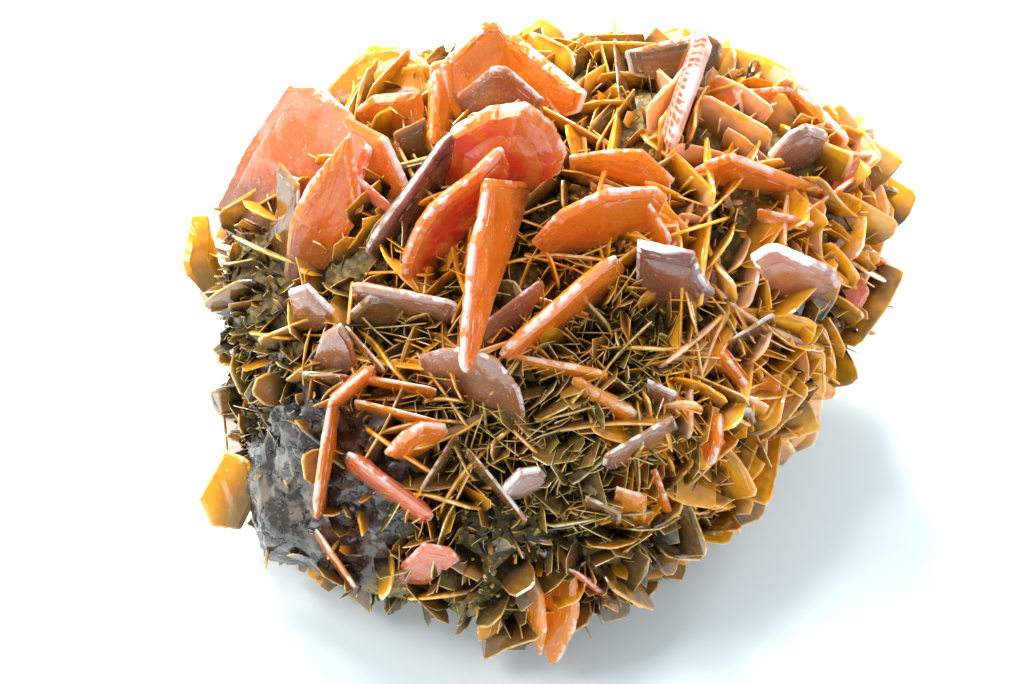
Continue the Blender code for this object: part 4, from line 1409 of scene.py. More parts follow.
@dataclass(frozen=True)
class Grains:
    """Fine druse: small double pyramids at random angles, sunk into the rock by part of their size.

    A grain's six points are numbered as its three arms out and the same three arms back.
    """

    count: int = 11000
    tries: int = 4
    seed: int = 31
    size: Pair = (0.22 * MM, 0.62 * MM)
    smaller: Pair = (0.7, 1)
    arm: Pair = (0.7, 1.2)
    sink: float = 0.2
    tone_shift: float = -0.1
    faces: tuple[tuple[int, int, int], ...] = (
        (0, 1, 2), (1, 3, 2), (3, 4, 2), (4, 0, 2), (1, 0, 5), (3, 1, 5), (4, 3, 5), (0, 4, 5),
    )

    def surface(self) -> Surface:
        """Six points and eight faces per grain: plus and minus three turned axes times its size.

        Returns:
            All grains, with tone as a value.
        """
        rng = np.random.default_rng(self.seed)
        directions = unit(rng.normal(size=(self.count * self.tries, 3)))
        points = ROCK.points(directions)
        kept = (rng.uniform(size=len(points)) < on_rims(points)) & (points[:, 2] > self.size[1])
        directions, points = directions[kept][: self.count], points[kept][: self.count]
        count = len(points)
        first = unit(rng.normal(size=(count, 3)))
        second = unit(np.cross(first, rng.normal(size=(count, 3))))
        axes = np.stack((first, second, np.cross(first, second)), axis=1)
        size = rng.uniform(*self.size, (count, 1)) * rng.uniform(*self.smaller, (count, 1))
        arms = axes * size[..., None] * rng.uniform(*self.arm, (count, 3, 1))
        centre = points - directions * size * self.sink
        corners = np.concatenate((centre[:, None] + arms, centre[:, None] - arms), axis=1)
        each = corners.shape[1]
        faces = (np.arange(count)[:, None, None] * each + np.array(self.faces)[None]).reshape(-1, 3)
        tone = np.repeat(np.clip(tones_at(points, rng) + self.tone_shift, 0, 1), each)
        return Surface(corners.reshape(-1, 3), [faces], {"tone": tone})

    def build(self, material: bpy.types.Material) -> None:
        """Puts the grains into the scene as one piece.

        Args:
            material: Their finish.
        """
        piece = self.surface().piece("druse_grains", [material], None)


@dataclass(frozen=True)
class RockSkin:
    """The rock's visible surface: its form with swells, clefts and a fine grain laid over it.

    Level is the swell at which the surface lies on the rock's form, covered the share of the relief
    that is left under the crust, and deep the swell up to which a point lies in a cleft.
    """

    rows: int = 250
    columns: int = 384
    swells: Waves = Waves(41, 6 * MM, 2 * MM)
    crease: float = 0.9 * MM
    cleft: float = 0.3
    level: float = 0.6
    covered: float = 0.45
    deep: float = 0.45
    grains: Waves = Waves(42, 1.8 * MM, 0.9 * MM)
    grain: float = 0.11 * MM
    hollow: float = 2.6 * MM

    def surface(self) -> Surface:
        """Points along a grid of directions: polar angle from top to bottom, and turn about +Z.

        The height over the rock is crease x (swell - level), where swell is 1 - exp(-|noise| / cleft),
        which makes flat swells with narrow clefts between them, fuller on the grey face, plus finer
        noise, less the hollow at the foot. Points below the table are drawn back along their
        direction until they lie on it, which makes the flat face that the rock rests on.

        Returns:
            The closed surface, with bare and the clefts' share for painted shade as values.
        """
        polar = np.linspace(0, math.pi, self.rows + 2)[1:-1, None]
        turn = np.linspace(0, 2 * math.pi, self.columns, endpoint=False)[None]
        level = np.broadcast_to(np.cos(polar), (self.rows, self.columns))
        grid = np.stack((np.sin(polar) * np.cos(turn), np.sin(polar) * np.sin(turn), level), axis=-1)
        directions = np.concatenate((grid.reshape(-1, 3), ((0, 0, 1), (0, 0, -1))))
        points = ROCK.points(directions)
        bare = np.maximum(BARE_FACE.share(points), LEFT_FACE.share(points))
        swell = 1 - np.exp(-np.abs(self.swells(points)) / self.cleft)
        height = self.crease * (swell - self.level) * (self.covered + (1 - self.covered) * bare)
        height += self.grain * self.grains(points)
        height -= self.hollow * HOLLOW.share(points)
        points = points + directions * height[:, None]
        centre_height = VIEW.centre[2]
        below = points[:, 2] < 0
        share = np.where(below, centre_height / (centre_height - np.minimum(points[:, 2], 0)), 1)
        centre = np.array(VIEW.centre)
        points = centre + (points - centre) * share[:, None]
        # The clefts' share, which the rock's finish darkens as painted shade
        values = {"bare": bare, "cavity": 1 - smooth_step(swell, 0.0, self.deep)}
        return Surface(points, ring_faces(self.rows, self.columns), values)

    def build(self, material: bpy.types.Material) -> None:
        """Puts the rock into the scene, where it stands for its solid.

        Args:
            material: Its finish.
        """
        piece = self.surface().piece("rock_surface", [material], ROCK_CREASE)
        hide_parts("matrix")


class Signal:
    """A shader socket that arithmetic works on: each operator adds one Math node."""

    def __init__(self, shader: Shader, socket: bpy.types.NodeSocket) -> None:
        """Wraps a socket.

        Args:
            shader: The material that the socket belongs to.
            socket: An output that carries a number.
        """
        self.shader = shader
        self.socket = socket

    def combined(self, operation: str, first: Any, second: Any) -> Signal:
        """A Math node on two numbers or sockets.

        Args:
            operation: The node's operation.
            first: Its first value.
            second: Its second value.

        Returns:
            The result as a signal.
        """
        node = self.shader.node("ShaderNodeMath", {"operation": operation}, {0: first, 1: second})
        return Signal(self.shader, node.outputs[0])

    def __add__(self, other: Any) -> Signal:
        """The sum."""
        return self.combined("ADD", self, other)

    __radd__ = __add__

    def __mul__(self, other: Any) -> Signal:
        """The product."""
        return self.combined("MULTIPLY", self, other)

    def __sub__(self, other: Any) -> Signal:
        """The difference."""
        return self.combined("SUBTRACT", self, other)

    def __rsub__(self, other: Any) -> Signal:
        """The difference, taken from a number."""
        return self.combined("SUBTRACT", other, self)

    def __abs__(self) -> Signal:
        """The size without its sign."""
        return self.combined("ABSOLUTE", self, 0.0)

    def rise(self, low: float, high: float) -> Signal:
        """Rises smoothly from 0 at low to 1 at high.

        Args:
            low: Where the rise starts.
            high: Where it ends.

        Returns:
            The result as a signal.
        """
        node = self.shader.node(
            "ShaderNodeMapRange",
            {"interpolation_type": "SMOOTHSTEP"},
            {"Value": self, "From Min": low, "From Max": high, "To Min": 0.0, "To Max": 1.0},
        )
        return Signal(self.shader, node.outputs["Result"])


class Shader:
    """The nodes of one material."""

    def __init__(self, name: str) -> None:
        """Starts a material with nothing but its output.

        Args:
            name: The material's name.
        """
        self.material = bpy.data.materials.new(name)
        self.material.use_nodes = True
        self.tree = self.material.node_tree
        self.tree.nodes.clear()
        self.output = self.tree.nodes.new("ShaderNodeOutputMaterial")

    def node(self, kind: str, settings: dict[str, Any], inputs: dict[Any, Any]) -> bpy.types.Node:
        """Adds a node, sets it up and then fills its sockets.

        Args:
            kind: The node's type.
            settings: Its properties, and "stops" for a ramp: pairs of place and colour.
            inputs: Values, sockets or signals by the socket's name or number.

        Returns:
            The node.
        """
        node = self.tree.nodes.new(kind)
        for key, value in settings.items():
            if key == "stops":
                self.set_stops(node.color_ramp, value)
            else:
                setattr(node, key, value)
        for key, value in inputs.items():
            if isinstance(value, Signal):
                value = value.socket
            if isinstance(value, bpy.types.NodeSocket):
                self.tree.links.new(value, node.inputs[key])
            elif isinstance(value, tuple) and node.inputs[key].type == "RGBA":
                node.inputs[key].default_value = (*value, 1.0)
            else:
                node.inputs[key].default_value = value
        return node

    @staticmethod
    def set_stops(ramp: bpy.types.ColorRamp, stops: Stops) -> None:
        """Lays a ramp's stops out.

        Args:
            ramp: The ramp, with its two first stops.
            stops: Places and colours, in order.
        """
        while len(ramp.elements) < len(stops):
            ramp.elements.new(0.5)
        for element, (place, colour) in zip(ramp.elements, stops):
            element.position = place
            element.color = (*colour, 1.0)

    @cached_property
    def place(self) -> bpy.types.NodeSocket:
        """Object coordinates, which are metres in the specimen's frame."""
        return self.node("ShaderNodeTexCoord", {}, {}).outputs["Object"]

    def value(self, name: str) -> Signal:
        """A value stored on the mesh's points."""
        return Signal(self, self.node("ShaderNodeAttribute", {"attribute_name": name}, {}).outputs["Fac"])

    def noise(self, size: float, detail: float, distortion: float = 0.0) -> Signal:
        """Smooth noise from 0 to 1.

        Args:
            size: Length of its features in metres.
            detail: How many finer layers are added.
            distortion: How far the pattern is swirled.

        Returns:
            The noise as a signal.
        """
        inputs = {"Vector": self.place, "Scale": 1 / size, "Detail": detail, "Distortion": distortion}
        return Signal(self, self.node("ShaderNodeTexNoise", {}, inputs).outputs["Fac"])

    def blend(self, share: Any, first: Any, second: Any) -> bpy.types.NodeSocket:
        """A colour between two others.

        Args:
            share: 0 for the first, 1 for the second.
            first: Colour or socket.
            second: Colour or socket.

        Returns:
            The colour's socket.
        """
        settings = {"data_type": "RGBA", "clamp_factor": True}
        return self.node("ShaderNodeMix", settings, {0: share, 6: first, 7: second}).outputs[2]

    def bump(
        self, height: Signal, distance: float, strength: float, under: bpy.types.NodeSocket | None = None
    ) -> bpy.types.NodeSocket:
        """A normal tilted by a height.

        Args:
            height: The height, 0 to 1.
            distance: Its size in metres.
            strength: How much of the tilt is kept.
            under: A normal to start from, if any.

        Returns:
            The normal's socket.
        """
        inputs = {"Height": height, "Distance": distance, "Strength": strength}
        if under is not None:
            inputs["Normal"] = under
        return self.node("ShaderNodeBump", {}, inputs).outputs["Normal"]

    def close(self, **inputs: Any) -> bpy.types.Material:
        """Ends the material in a Principled shader, whose emission isn't sampled as a lamp.

        Args:
            **inputs: Its sockets, with underscores for spaces.

        Returns:
            The finished material.
        """
        named = {key.replace("_", " "): value for key, value in inputs.items()}
        shader = self.node("ShaderNodeBsdfPrincipled", {}, named)
        self.tree.links.new(shader.outputs[0], self.output.inputs["Surface"])
        self.material.cycles.emission_sampling = "NONE"
        return self.material


@dataclass(frozen=True)
class CrystalFinish:
    """The finish of a large crystal: a cloudy glowing body with a bright bevelled rim cut by notches.

    Edge is the colour of the painted highlights and painted sparkle, and of the pale frost grain;
    foot is the colour of the painted shade toward the root, and of the dark frost grain. Widths are
    in mm. Core is how much deeper the colour gets away from the rim, the bar is the share of a
    painted highlight along the top rim that glows, and dimming how much less the rest glows.
    Windows is the share of the notches' openings, and row the range through the thickness that they
    keep to. Glow is scattered below the surface, and clearness passes through. Shine is the strength
    of a painted glow, an emission in place of light coming through.
    """

    face: Colour
    deep: Colour
    rim: Colour
    # Colour of the painted highlights and sparkle, and of the pale frost grain
    edge: Colour
    # Colour of the painted shade toward the root, and of the dark frost grain
    foot: Colour
    rim_width: float = 0.7
    edge_width: float = 0.16
    frost: float = 0.6
    core: float = 0.16
    # Share of the painted highlight patches along the rim
    rim_highlight: float = 0.65
    # Share of the painted highlight bar along the top rim, which also glows
    highlight_bar: float = 0.0
    dimming: float = 0.8
    windows: float = 0.4
    row: Pair | None = None
    roughness: float = 0.08
    glow: float = 0.35
    glow_radius: Colour = (1.0, 0.3, 0.07)
    glow_scale: float = 1.0 * MM
    clearness: float = 0.4
    # Strength of the painted glow, which stands in for light coming through
    shine: float = 0.2
    bending: float = 1.65
    cloud_size: float = 6 * MM
    patch_size: float = 1.3 * MM
    grain_size: float = 0.3 * MM
    speck_size: float = 0.28 * MM

    def material(self, name: str) -> bpy.types.Material:
        """Mixes the body's two colours by clouds and lays painted shade, highlights, rim, openings and frost
        on it.

        The painted highlights, as pale rim patches, a line along the edge and the crests of the layers on
        the faces, are pale and come and go. The notches open the rim to the deep colour. Frost is a pale
        and dark grain with bright specks of painted sparkle, and it is rougher. The body emits its own
        colour as a painted glow in place of light coming through; where there is a bar, a painted
        highlight, it emits the edge's colour and the rest a dimmed one.

        Args:
            name: The material's name.

        Returns:
            The material.
        """
        shader = Shader(name)
        inset, foot, notch, tone = (shader.value(key) for key in ("inset", "foot", "notch", "tone"))
        clouds = shader.noise(self.cloud_size, 3, 0.6)
        patches = shader.noise(self.patch_size, 3)
        grain = shader.noise(self.grain_size, 3)
        painted_sparkle = shader.noise(self.speck_size, 0).rise(0.7, 0.78)
        lights = (clouds * 0.55 + patches * 0.45).rise(0.47, 0.54)
        below = foot.rise(0.1, 0.75) * 0.2 + inset.rise(1.2, 4.5) * self.core
        body = shader.blend((clouds + (tone - 0.5) * 0.3 + below).rise(0.42, 0.72), self.face, self.deep)
        # Painted shade: the body darkens toward the root, where the crust shades it
        body = shader.blend(foot.rise(0.3, 0.9) * 0.92, body, self.foot)
        wobbled = inset + (patches - 0.5) * 0.4
        band = (1 - wobbled.rise(self.rim_width * 0.7, self.rim_width * 1.3)) * (1 - foot.rise(0.6, 1.0))
        body = shader.blend(band * 0.9, body, self.rim)
        # Painted highlight: pale patches along the rim where the lights noise comes up, not at the foot
        rim_highlight = (1 - (inset + (patches - 0.5) * 0.15).rise(0.34, 0.42)) * (1 - foot.rise(0.3, 0.6)) * lights
        body = shader.blend(rim_highlight * self.rim_highlight, body, self.edge)
        openings = band * notch.rise(0.4, 0.6) * self.windows
        if self.row:
            through, (low, high) = shader.value("through"), self.row
            openings = openings * through.rise(low - 0.1, low) * (1 - through.rise(high, high + 0.1))
        body = shader.blend(openings, body, self.deep)
        # Painted highlights: a pale line along the outer edge, and along the rims of the layers on the faces
        edge = (1 - inset.rise(self.edge_width * 0.5, self.edge_width * 1.3)) * (1 - foot.rise(0.3, 0.6))
        crest_highlight = (1 - abs(inset - 1.0).rise(0.02, 0.08)) * (1 - foot.rise(0.2, 0.5)) * 0.6
        body = shader.blend(edge * (0.12 + lights * 0.88), body, self.edge)
        body = shader.blend(crest_highlight * patches.rise(0.5, 0.58), body, self.edge)
        # Painted highlight: a bright bar along the top rim, which glows in the emission while the rest glows
        # less
        if self.highlight_bar:
            highlight_bar = (1 - inset.rise(0.5, 0.62)) * (1 - foot.rise(0.02, 0.07))
            body = shader.blend(highlight_bar * self.highlight_bar, body, self.edge)
            lit = shader.blend(highlight_bar, shader.blend(self.dimming, body, BLACK), self.edge)
        frosted = patches.rise(0.35, 0.7) * self.frost * (1 - band * 0.7)
        body = shader.blend(grain.rise(0.45, 0.75) * self.frost * 0.1, body, self.edge)
        body = shader.blend((1 - grain.rise(0.3, 0.5)) * self.frost * 0.2, body, self.foot)
        # Painted sparkle: bright specks on the frosted patches
        body = shader.blend(painted_sparkle * frosted * 0.6, body, self.edge)
        grained = shader.bump(grain, 0.05 * MM, 0.2 * self.frost + 0.03)
        lumped = shader.bump(patches, 0.2 * MM, 0.35, grained)
        return shader.close(
            Base_Color=body,
            Roughness=self.roughness + frosted * 0.15 * (1 - band * 0.8) + foot.rise(0.4, 1.0) * 0.3,
            Normal=lumped,
            IOR=self.bending,
            Transmission_Weight=self.clearness,
            Subsurface_Weight=self.glow,
            Subsurface_Radius=self.glow_radius,
            Subsurface_Scale=self.glow_scale,
            # Painted glow: the crystal emits its colour in place of light coming through it
            Emission_Color=lit if self.highlight_bar else body,
            Emission_Strength=self.shine,
        )


FINISHES: dict[Finish, CrystalFinish] = {
    Finish.ROSE: CrystalFinish(
        face=(0.80, 0.25, 0.14), deep=(0.80, 0.16, 0.03), rim=(0.82, 0.20, 0.05), edge=(0.98, 0.86, 0.84),
        foot=(0.20, 0.07, 0.02), frost=0.8, shine=0.14,
    ),
    Finish.CORAL: CrystalFinish(
        face=(0.78, 0.27, 0.045), deep=(0.74, 0.18, 0.006), rim=(0.84, 0.28, 0.025), edge=(0.98, 0.88, 0.88),
        foot=(0.12, 0.04, 0.01), rim_width=0.6,
    ),
    Finish.BLUSH: CrystalFinish(
        face=(0.66, 0.34, 0.24), deep=(0.58, 0.20, 0.07), rim=(0.72, 0.40, 0.32), edge=(0.98, 0.95, 0.98),
        foot=(0.16, 0.07, 0.03), rim_width=0.6, highlight_bar=0.95, shine=0.6,
    ),
    Finish.PILLAR: CrystalFinish(
        face=(0.62, 0.30, 0.22), deep=(0.56, 0.07, 0.008), rim=(0.80, 0.42, 0.32), edge=(0.98, 0.90, 0.88),
        foot=(0.22, 0.09, 0.04), rim_width=2.0, frost=0.4, windows=0.95, row=(-0.75, 0.1),
    ),
    Finish.RED: CrystalFinish(
        face=(0.76, 0.21, 0.03), deep=(0.70, 0.07, 0.022), rim=(0.84, 0.27, 0.03), edge=(0.98, 0.90, 0.89),
        foot=(0.12, 0.03, 0.008), core=0.28, frost=0.3, roughness=0.06, shine=0.12,
    ),
    Finish.ORANGE: CrystalFinish(
        face=(0.70, 0.21, 0.015), deep=(0.66, 0.15, 0.004), rim=(0.84, 0.27, 0.008), edge=(0.97, 0.86, 0.80),
        foot=(0.12, 0.04, 0.010), frost=0.45,
    ),
    Finish.AMBER: CrystalFinish(
        face=(0.72, 0.26, 0.018), deep=(0.70, 0.19, 0.004), rim=(0.84, 0.32, 0.010), edge=(0.96, 0.84, 0.70),
        foot=(0.14, 0.06, 0.010), frost=0.35,
    ),
    Finish.YELLOW: CrystalFinish(
        face=(0.70, 0.31, 0.005), deep=(0.56, 0.19, 0.003), rim=(0.82, 0.37, 0.008), edge=(0.95, 0.84, 0.5),
        foot=(0.16, 0.09, 0.012), rim_width=0.6, frost=0.25, clearness=0.25,
    ),
    Finish.KHAKI: CrystalFinish(
        face=(0.22, 0.11, 0.04), deep=(0.28, 0.11, 0.012), rim=(0.54, 0.20, 0.012), edge=(0.92, 0.80, 0.70),
        foot=(0.04, 0.025, 0.01), rim_width=0.4, frost=0.7, roughness=0.1,
        glow=0.2, clearness=0.25, shine=0.04,
    ),
    Finish.LILAC: CrystalFinish(
        face=(0.40, 0.19, 0.125), deep=(0.38, 0.13, 0.035), rim=(0.56, 0.21, 0.06), edge=(0.98, 0.92, 0.93),
        foot=(0.08, 0.04, 0.02), rim_width=0.35, frost=0.8, roughness=0.1,
        glow=0.2, clearness=0.15, shine=0.05,
    ),
    Finish.VIOLET: CrystalFinish(
        face=(0.24, 0.10, 0.07), deep=(0.28, 0.08, 0.030), rim=(0.34, 0.15, 0.11), edge=(0.99, 0.97, 0.99),
        foot=(0.09, 0.04, 0.02), rim_width=0.35, highlight_bar=0.97, roughness=0.1,
        glow=0.2, clearness=0.15, shine=0.6,
    ),
    Finish.PALE: CrystalFinish(
        face=(0.56, 0.36, 0.32), deep=(0.46, 0.22, 0.14), rim=(0.62, 0.36, 0.27), edge=(0.98, 0.94, 0.96),
        foot=(0.10, 0.05, 0.02), rim_width=0.35, frost=0.8, roughness=0.1,
        glow=0.2, clearness=0.15, shine=0.1,
    ),
    Finish.SILVER: CrystalFinish(
        face=(0.18, 0.135, 0.105), deep=(0.13, 0.075, 0.045), rim=(0.30, 0.22, 0.18), edge=(0.68, 0.65, 0.64),
        foot=(0.05, 0.03, 0.02), rim_width=0.35, frost=0.9, rim_highlight=0.15, roughness=0.12,
        glow=0.1, clearness=0.0, shine=0.0,
    ),
}


@dataclass(frozen=True)
class PlateFinish:
    """The finish of the small plates: olive, amber or tan by their tone, with glowing rims.

    Faces and lit rims are ramps from tone to colour, the second giving the painted lit colour of rims
    and upper ends. Glint is the painted pale highlight along the rim, foot the painted shade at the
    root, shine the strength of the painted glow and bending the index of refraction.
    """

    faces: Stops = (
        (0.0, (0.12, 0.083, 0.022)), (0.3, (0.22, 0.120, 0.028)), (0.5, (0.40, 0.165, 0.022)),
        (0.7, (0.78, 0.31, 0.005)), (0.88, (0.84, 0.39, 0.015)), (1.0, (0.82, 0.40, 0.18)),
    )
    # Painted light: the colour of the lit rims and upper ends, by tone
    lit_rims: Stops = (
        (0.0, (0.50, 0.38, 0.08)), (0.3, (0.68, 0.42, 0.07)), (0.5, (0.82, 0.38, 0.03)),
        (0.7, (0.90, 0.37, 0.010)), (0.88, (0.92, 0.46, 0.06)), (1.0, (0.94, 0.57, 0.34)),
    )
    # Colour of the painted shade toward the foot
    foot: Colour = (0.02, 0.012, 0.005)
    frost: Colour = (0.44, 0.28, 0.19)
    glint: Colour = (0.92, 0.76, 0.66)
    roughness: float = 0.08
    shine: float = 0.32
    bending: float = 1.85
    cloud_size: float = 2.6 * MM
    patch_size: float = 0.9 * MM
    grain_size: float = 0.2 * MM

    def material(self, name: str) -> bpy.types.Material:
        """Takes face and painted lit rim colours from two ramps of the tone, and paints shade at the foot.

        The tone is shifted by noise. Frost lies in patches, less on amber plates, and a broken
        glint runs along the rim. Rims emit their own colour, and so do light amber plates as a
        whole, in place of the light that would come through them.

        Args:
            name: The material's name.

        Returns:
            The material.
        """
        shader = Shader(name)
        inset, foot, tone = (shader.value(key) for key in ("inset", "foot", "tone"))
        patches = shader.noise(self.patch_size, 3)
        shifted = tone + (shader.noise(self.cloud_size, 3, 0.6) - 0.5) * 0.6
        faces, lit_rims = (
            shader.node("ShaderNodeValToRGB", {"stops": stops}, {0: shifted}).outputs[0]
            for stops in (self.faces, self.lit_rims)
        )
        frosted = patches.rise(0.48, 0.66) * (0.35 - shifted.rise(0.5, 0.75) * 0.25)
        body = shader.blend(frosted, faces, self.frost)
        # Painted light: the lit rim colour on the rims and the upper ends
        lit = (1 - inset.rise(0.2, 0.8)) * (0.35 + patches.rise(0.35, 0.6) * 0.6)
        lit = lit + (1 - foot.rise(0.0, 0.3)) * 0.35
        body = shader.blend(lit.rise(0.0, 1.0), body, lit_rims)
        line = (1 - inset.rise(0.0, 0.14)) * (1 - foot.rise(0.02, 0.2)) * patches.rise(0.42, 0.56)
        body = shader.blend(line * 0.9, body, self.glint)
        # Painted shade toward the foot, less on light amber plates
        body = shader.blend(foot.rise(0.15, 0.9) * (1.15 - shifted.rise(0.45, 0.85) * 0.5), body, self.foot)
        # Painted glow in place of light coming through: lit rims, and light amber plates as a whole
        through = shifted.rise(0.48, 0.8) * (1 - foot.rise(0.05, 0.7)) * (0.3 + patches.rise(0.3, 0.7) * 0.6)
        glow = lit.rise(0.1, 1.0) * (1 - foot.rise(0.2, 0.8)) + through
        glow = shader.blend(glow, BLACK, lit_rims)
        grained = shader.bump(shader.noise(self.grain_size, 2), 0.04 * MM, 0.25)
        return shader.close(
            Base_Color=body,
            Roughness=self.roughness + patches.rise(0.4, 0.8) * 0.14 * inset,
            Normal=grained,
            IOR=self.bending,
            Emission_Color=glow,
            Emission_Strength=self.shine,
        )


@dataclass(frozen=True)
class RockFinish:
    """The finish of the rock: glossy grey where it is bare, brown druse elsewhere, painted shade in the
    clefts.
    """

    grey: Colour = (0.046, 0.036, 0.028)
    pale: Colour = (0.17, 0.14, 0.11)
    # Colour of the cracks and of the painted shade in the clefts
    black: Colour = (0.006, 0.005, 0.004)
    druse: Colour = (0.13, 0.084, 0.022)
    ochre: Colour = (0.33, 0.22, 0.045)
    bending: float = 1.6
    cloud_size: float = 4 * MM
    fine_size: float = 0.9 * MM
    crack_size: float = 3.2 * MM
    gap_size: float = 1.6 * MM
    dust_size: float = 0.4 * MM

    def material(self, name: str) -> bpy.types.Material:
        """Mixes grey and druse by the bare share, dusts it with ochre, darkens cracks and paints shade in
        clefts.

        A crack lies where a swirled noise crosses its middle, and a second noise breaks it up.

        Args:
            name: The material's name.

        Returns:
            The material.
        """
        shader = Shader(name)
        bare, cavity = shader.value("bare"), shader.value("cavity")
        clouds = shader.noise(self.cloud_size, 4, 1.2)
        fine = shader.noise(self.fine_size, 4)
        fissures = 1 - abs(shader.noise(self.crack_size, 3, 1.2) - 0.5).rise(0.012, 0.035)
        cracks = fissures * shader.noise(self.gap_size, 1).rise(0.46, 0.54)
        stone = shader.blend(clouds.rise(0.48, 0.62), self.grey, self.pale)
        crust = shader.blend(fine.rise(0.42, 0.62), self.druse, self.ochre)
        body = shader.blend((bare + (fine - 0.5) * 0.5).rise(0.25, 0.6), crust, stone)
        dust = shader.noise(self.dust_size, 2).rise(0.6, 0.68) * (1 - clouds.rise(0.45, 0.6)) * 0.5
        body = shader.blend(dust, body, self.ochre)
        # Dark cracks on the bare face, and painted shade in the clefts
        dark = cracks * bare * 0.9 + cavity.rise(0.3, 1.0) * (0.5 + bare * 0.3)
        body = shader.blend(dark.rise(0.0, 1.0), body, self.black)
        pitted = shader.bump(fine, 0.1 * MM, 0.2)
        cracked = shader.bump(1 - cracks, 0.25 * MM, 0.6, pitted)
        return shader.close(
            Base_Color=body,
            Roughness=0.6 - bare * 0.46 + clouds.rise(0.5, 0.7) * 0.1,
            Normal=cracked,
            IOR=self.bending,
        )


@dataclass(frozen=True)
class GrainFinish:
    """The finish of the druse grains: olive to yellow by tone, glossy."""

    tones: Stops = (
        (0.0, (0.16, 0.11, 0.02)), (0.35, (0.42, 0.29, 0.03)), (0.65, (0.66, 0.42, 0.03)),
        (1.0, (0.70, 0.50, 0.2)),
    )
    roughness: float = 0.22
    bending: float = 1.9
    cloud_size: float = 2 * MM
    fine_size: float = 0.5 * MM

    def material(self, name: str) -> bpy.types.Material:
        """Takes the colour from a ramp of the tone, shifted by noise.

        Args:
            name: The material's name.

        Returns:
            The material.
        """
        shader = Shader(name)
        shifted = shader.value("tone") + (shader.noise(self.cloud_size, 2) - 0.5) * 0.6
        body = shader.node("ShaderNodeValToRGB", {"stops": self.tones}, {0: shifted}).outputs[0]
        return shader.close(
            Base_Color=body,
            Roughness=self.roughness + shader.noise(self.fine_size, 1) * 0.2,
            IOR=self.bending,
        )


@dataclass(frozen=True)
class FloorFinish:
    """A matte pale table, a little bluer toward the front, with a weak glow that lifts its shadows.

    Its pale blue tint, stronger toward the front, is painted cool shade.
    """

    near: Colour = (0.80, 0.91, 0.98)
    far: Colour = (0.88, 0.95, 0.98)
    slant: float = 0.6
    reach: Pair = (-90 * MM, 60 * MM)
    roughness: float = 0.75
    shine: float = 0.18

    def material(self, name: str) -> bpy.types.Material:
        """Mixes the two colours along +Y, slanted toward -X.

        Args:
            name: The material's name.

        Returns:
            The material.
        """
        shader = Shader(name)
        parts = shader.node("ShaderNodeSeparateXYZ", {}, {0: shader.place})
        share = Signal(shader, parts.outputs["Y"]) - Signal(shader, parts.outputs["X"]) * self.slant
        # Painted cool shade: a pale blue tint, stronger toward the front
        body = shader.blend(share.rise(*self.reach), self.near, self.far)
        return shader.close(
            Base_Color=body,
            Roughness=self.roughness,
            Emission_Color=body,
            Emission_Strength=self.shine,
        )


@dataclass(frozen=True)
class Panel:
    """A soft light: where it stands from the specimen, its size, power and colour."""

    name: str
    azimuth: float
    elevation: float
    distance: float
    size: Pair
    power: float
    colour: Colour = (1.0, 1.0, 1.0)

    def build(self) -> None:
        """Puts an area light there, aimed at the rock's centre."""
        turn, rise = math.radians(self.azimuth), math.radians(self.elevation)
        away = Vector((math.sin(turn) * math.cos(rise), -math.cos(turn) * math.cos(rise), math.sin(rise)))
        light = bpy.data.lights.new(self.name, "AREA")
        light.shape = "RECTANGLE"
        light.size, light.size_y = self.size
        light.energy = self.power
        light.color = self.colour
        obj = bpy.data.objects.new(self.name, light)
        obj.location = Vector(VIEW.centre) + away * self.distance
        obj.rotation_euler = away.to_track_quat("Z", "Y").to_euler()
        bpy.context.scene.collection.objects.link(obj)


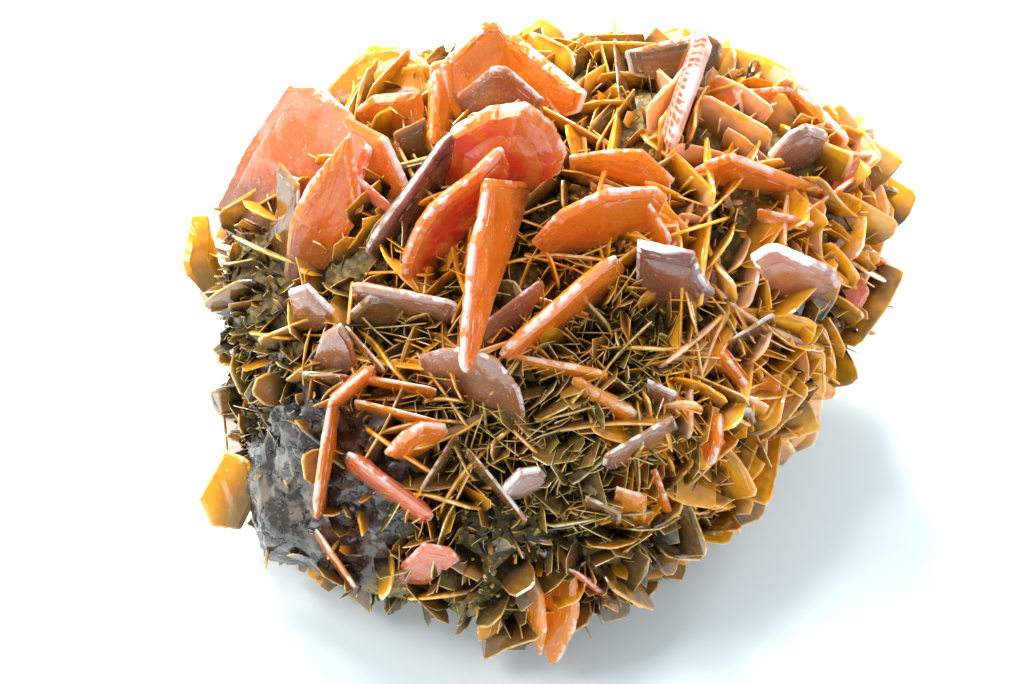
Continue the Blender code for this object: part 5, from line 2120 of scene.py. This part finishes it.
@dataclass(frozen=True)
class Studio:
    """Table, soft lights and the camera at the direction that the specimen is read from."""

    panels: tuple[Panel, ...] = (
        Panel("window", 205, 50, 0.42, (0.2, 0.14), 4.0, (1.0, 0.99, 0.97)),
        Panel("left_panel", -75, 50, 0.45, (0.16, 0.2), 0.9, (1.0, 0.98, 0.95)),
        Panel("high_glint", 170, 78, 0.4, (0.05, 0.05), 0.4),
        Panel("right_glint", 130, 40, 0.45, (0.04, 0.12), 0.5),
        Panel("left_glint", 240, 35, 0.45, (0.04, 0.12), 0.5),
    )
    sky: Colour = (0.80, 0.93, 1.0)
    sky_strength: float = 0.62
    table_half: float = 1.2
    clip: Pair = (0.02, 10.0)
    sensor_mm: float = 36.0

    def table(self) -> None:
        """The table: one wide square under the specimen."""
        half = self.table_half
        corners = np.array(((-half, -half, 0), (half, -half, 0), (half, half, 0), (-half, half, 0)))
        mesh = bpy.data.meshes.new("table")
        mesh.from_pydata(corners.tolist(), [], [(0, 1, 2, 3)])
        mesh.materials.append(FloorFinish().material("table"))
        table = bpy.data.objects.new("table", mesh)
        bpy.context.scene.collection.objects.link(table)

    def camera(self) -> None:
        """The camera: at the eye, with the picture's up as its own, and its focal length in pixels."""
        data = bpy.data.cameras.new("camera")
        data.sensor_width = self.sensor_mm
        data.lens = VIEW.focal_px / VIEW.picture_width_px * data.sensor_width
        data.clip_start, data.clip_end = self.clip
        camera = bpy.data.objects.new("camera", data)
        axes = (VIEW.right, VIEW.up, VIEW.toward)
        turned = Matrix([[float(axis[row]) for axis in axes] for row in range(3)])
        camera.matrix_world = Matrix.Translation(Vector(VIEW.eye)) @ turned.to_4x4()
        bpy.context.scene.collection.objects.link(camera)
        bpy.context.scene.camera = camera

    def build(self) -> None:
        """Sets up table, lights, sky and camera."""
        self.table()
        for panel in self.panels:
            panel.build()
        world = bpy.data.worlds.new("sky")
        world.use_nodes = True
        background = world.node_tree.nodes["Background"]
        background.inputs["Color"].default_value = (*self.sky, 1.0)
        background.inputs["Strength"].default_value = self.sky_strength
        bpy.context.scene.world = world
        bpy.context.scene.view_settings.view_transform = "Standard"
        self.camera()


# Seed of the thin blades, and step of the seeds from one solid's crystals to the next
CRUST_SEED, CLUSTER_SEEDS = 900, 1000


def main() -> None:
    """Builds the rock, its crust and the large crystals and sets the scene."""
    logging.basicConfig(level=logging.INFO, format="%(message)s")
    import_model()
    crystal_materials = {
        finish: look.material(f"{finish.value}_crystal") for finish, look in FINISHES.items()
    }
    plate_material = PlateFinish().material("small_plates")
    RockSkin().build(RockFinish().material("rock"))
    SolidPlates().build(plate_material)
    for growth in GROWTHS:
        growth.build(plate_material)
    Grains().build(GrainFinish().material("druse"))
    Cluster(
        "crust_blades", "matrix", CRUST, CRUST_SEED, seed_step=1, cut=THIN_CUT, slimness=0.7,
        stands_for_solid=False, sides=(),
    ).build(crystal_materials)
    for number, (solid, tablets) in enumerate(CRYSTALS.items(), start=1):
        seed = number * CLUSTER_SEEDS
        Cluster(f"{solid}_crystals", solid, tablets, seed).build(crystal_materials)
    Studio().build()


if __name__ == "__main__":
    main()
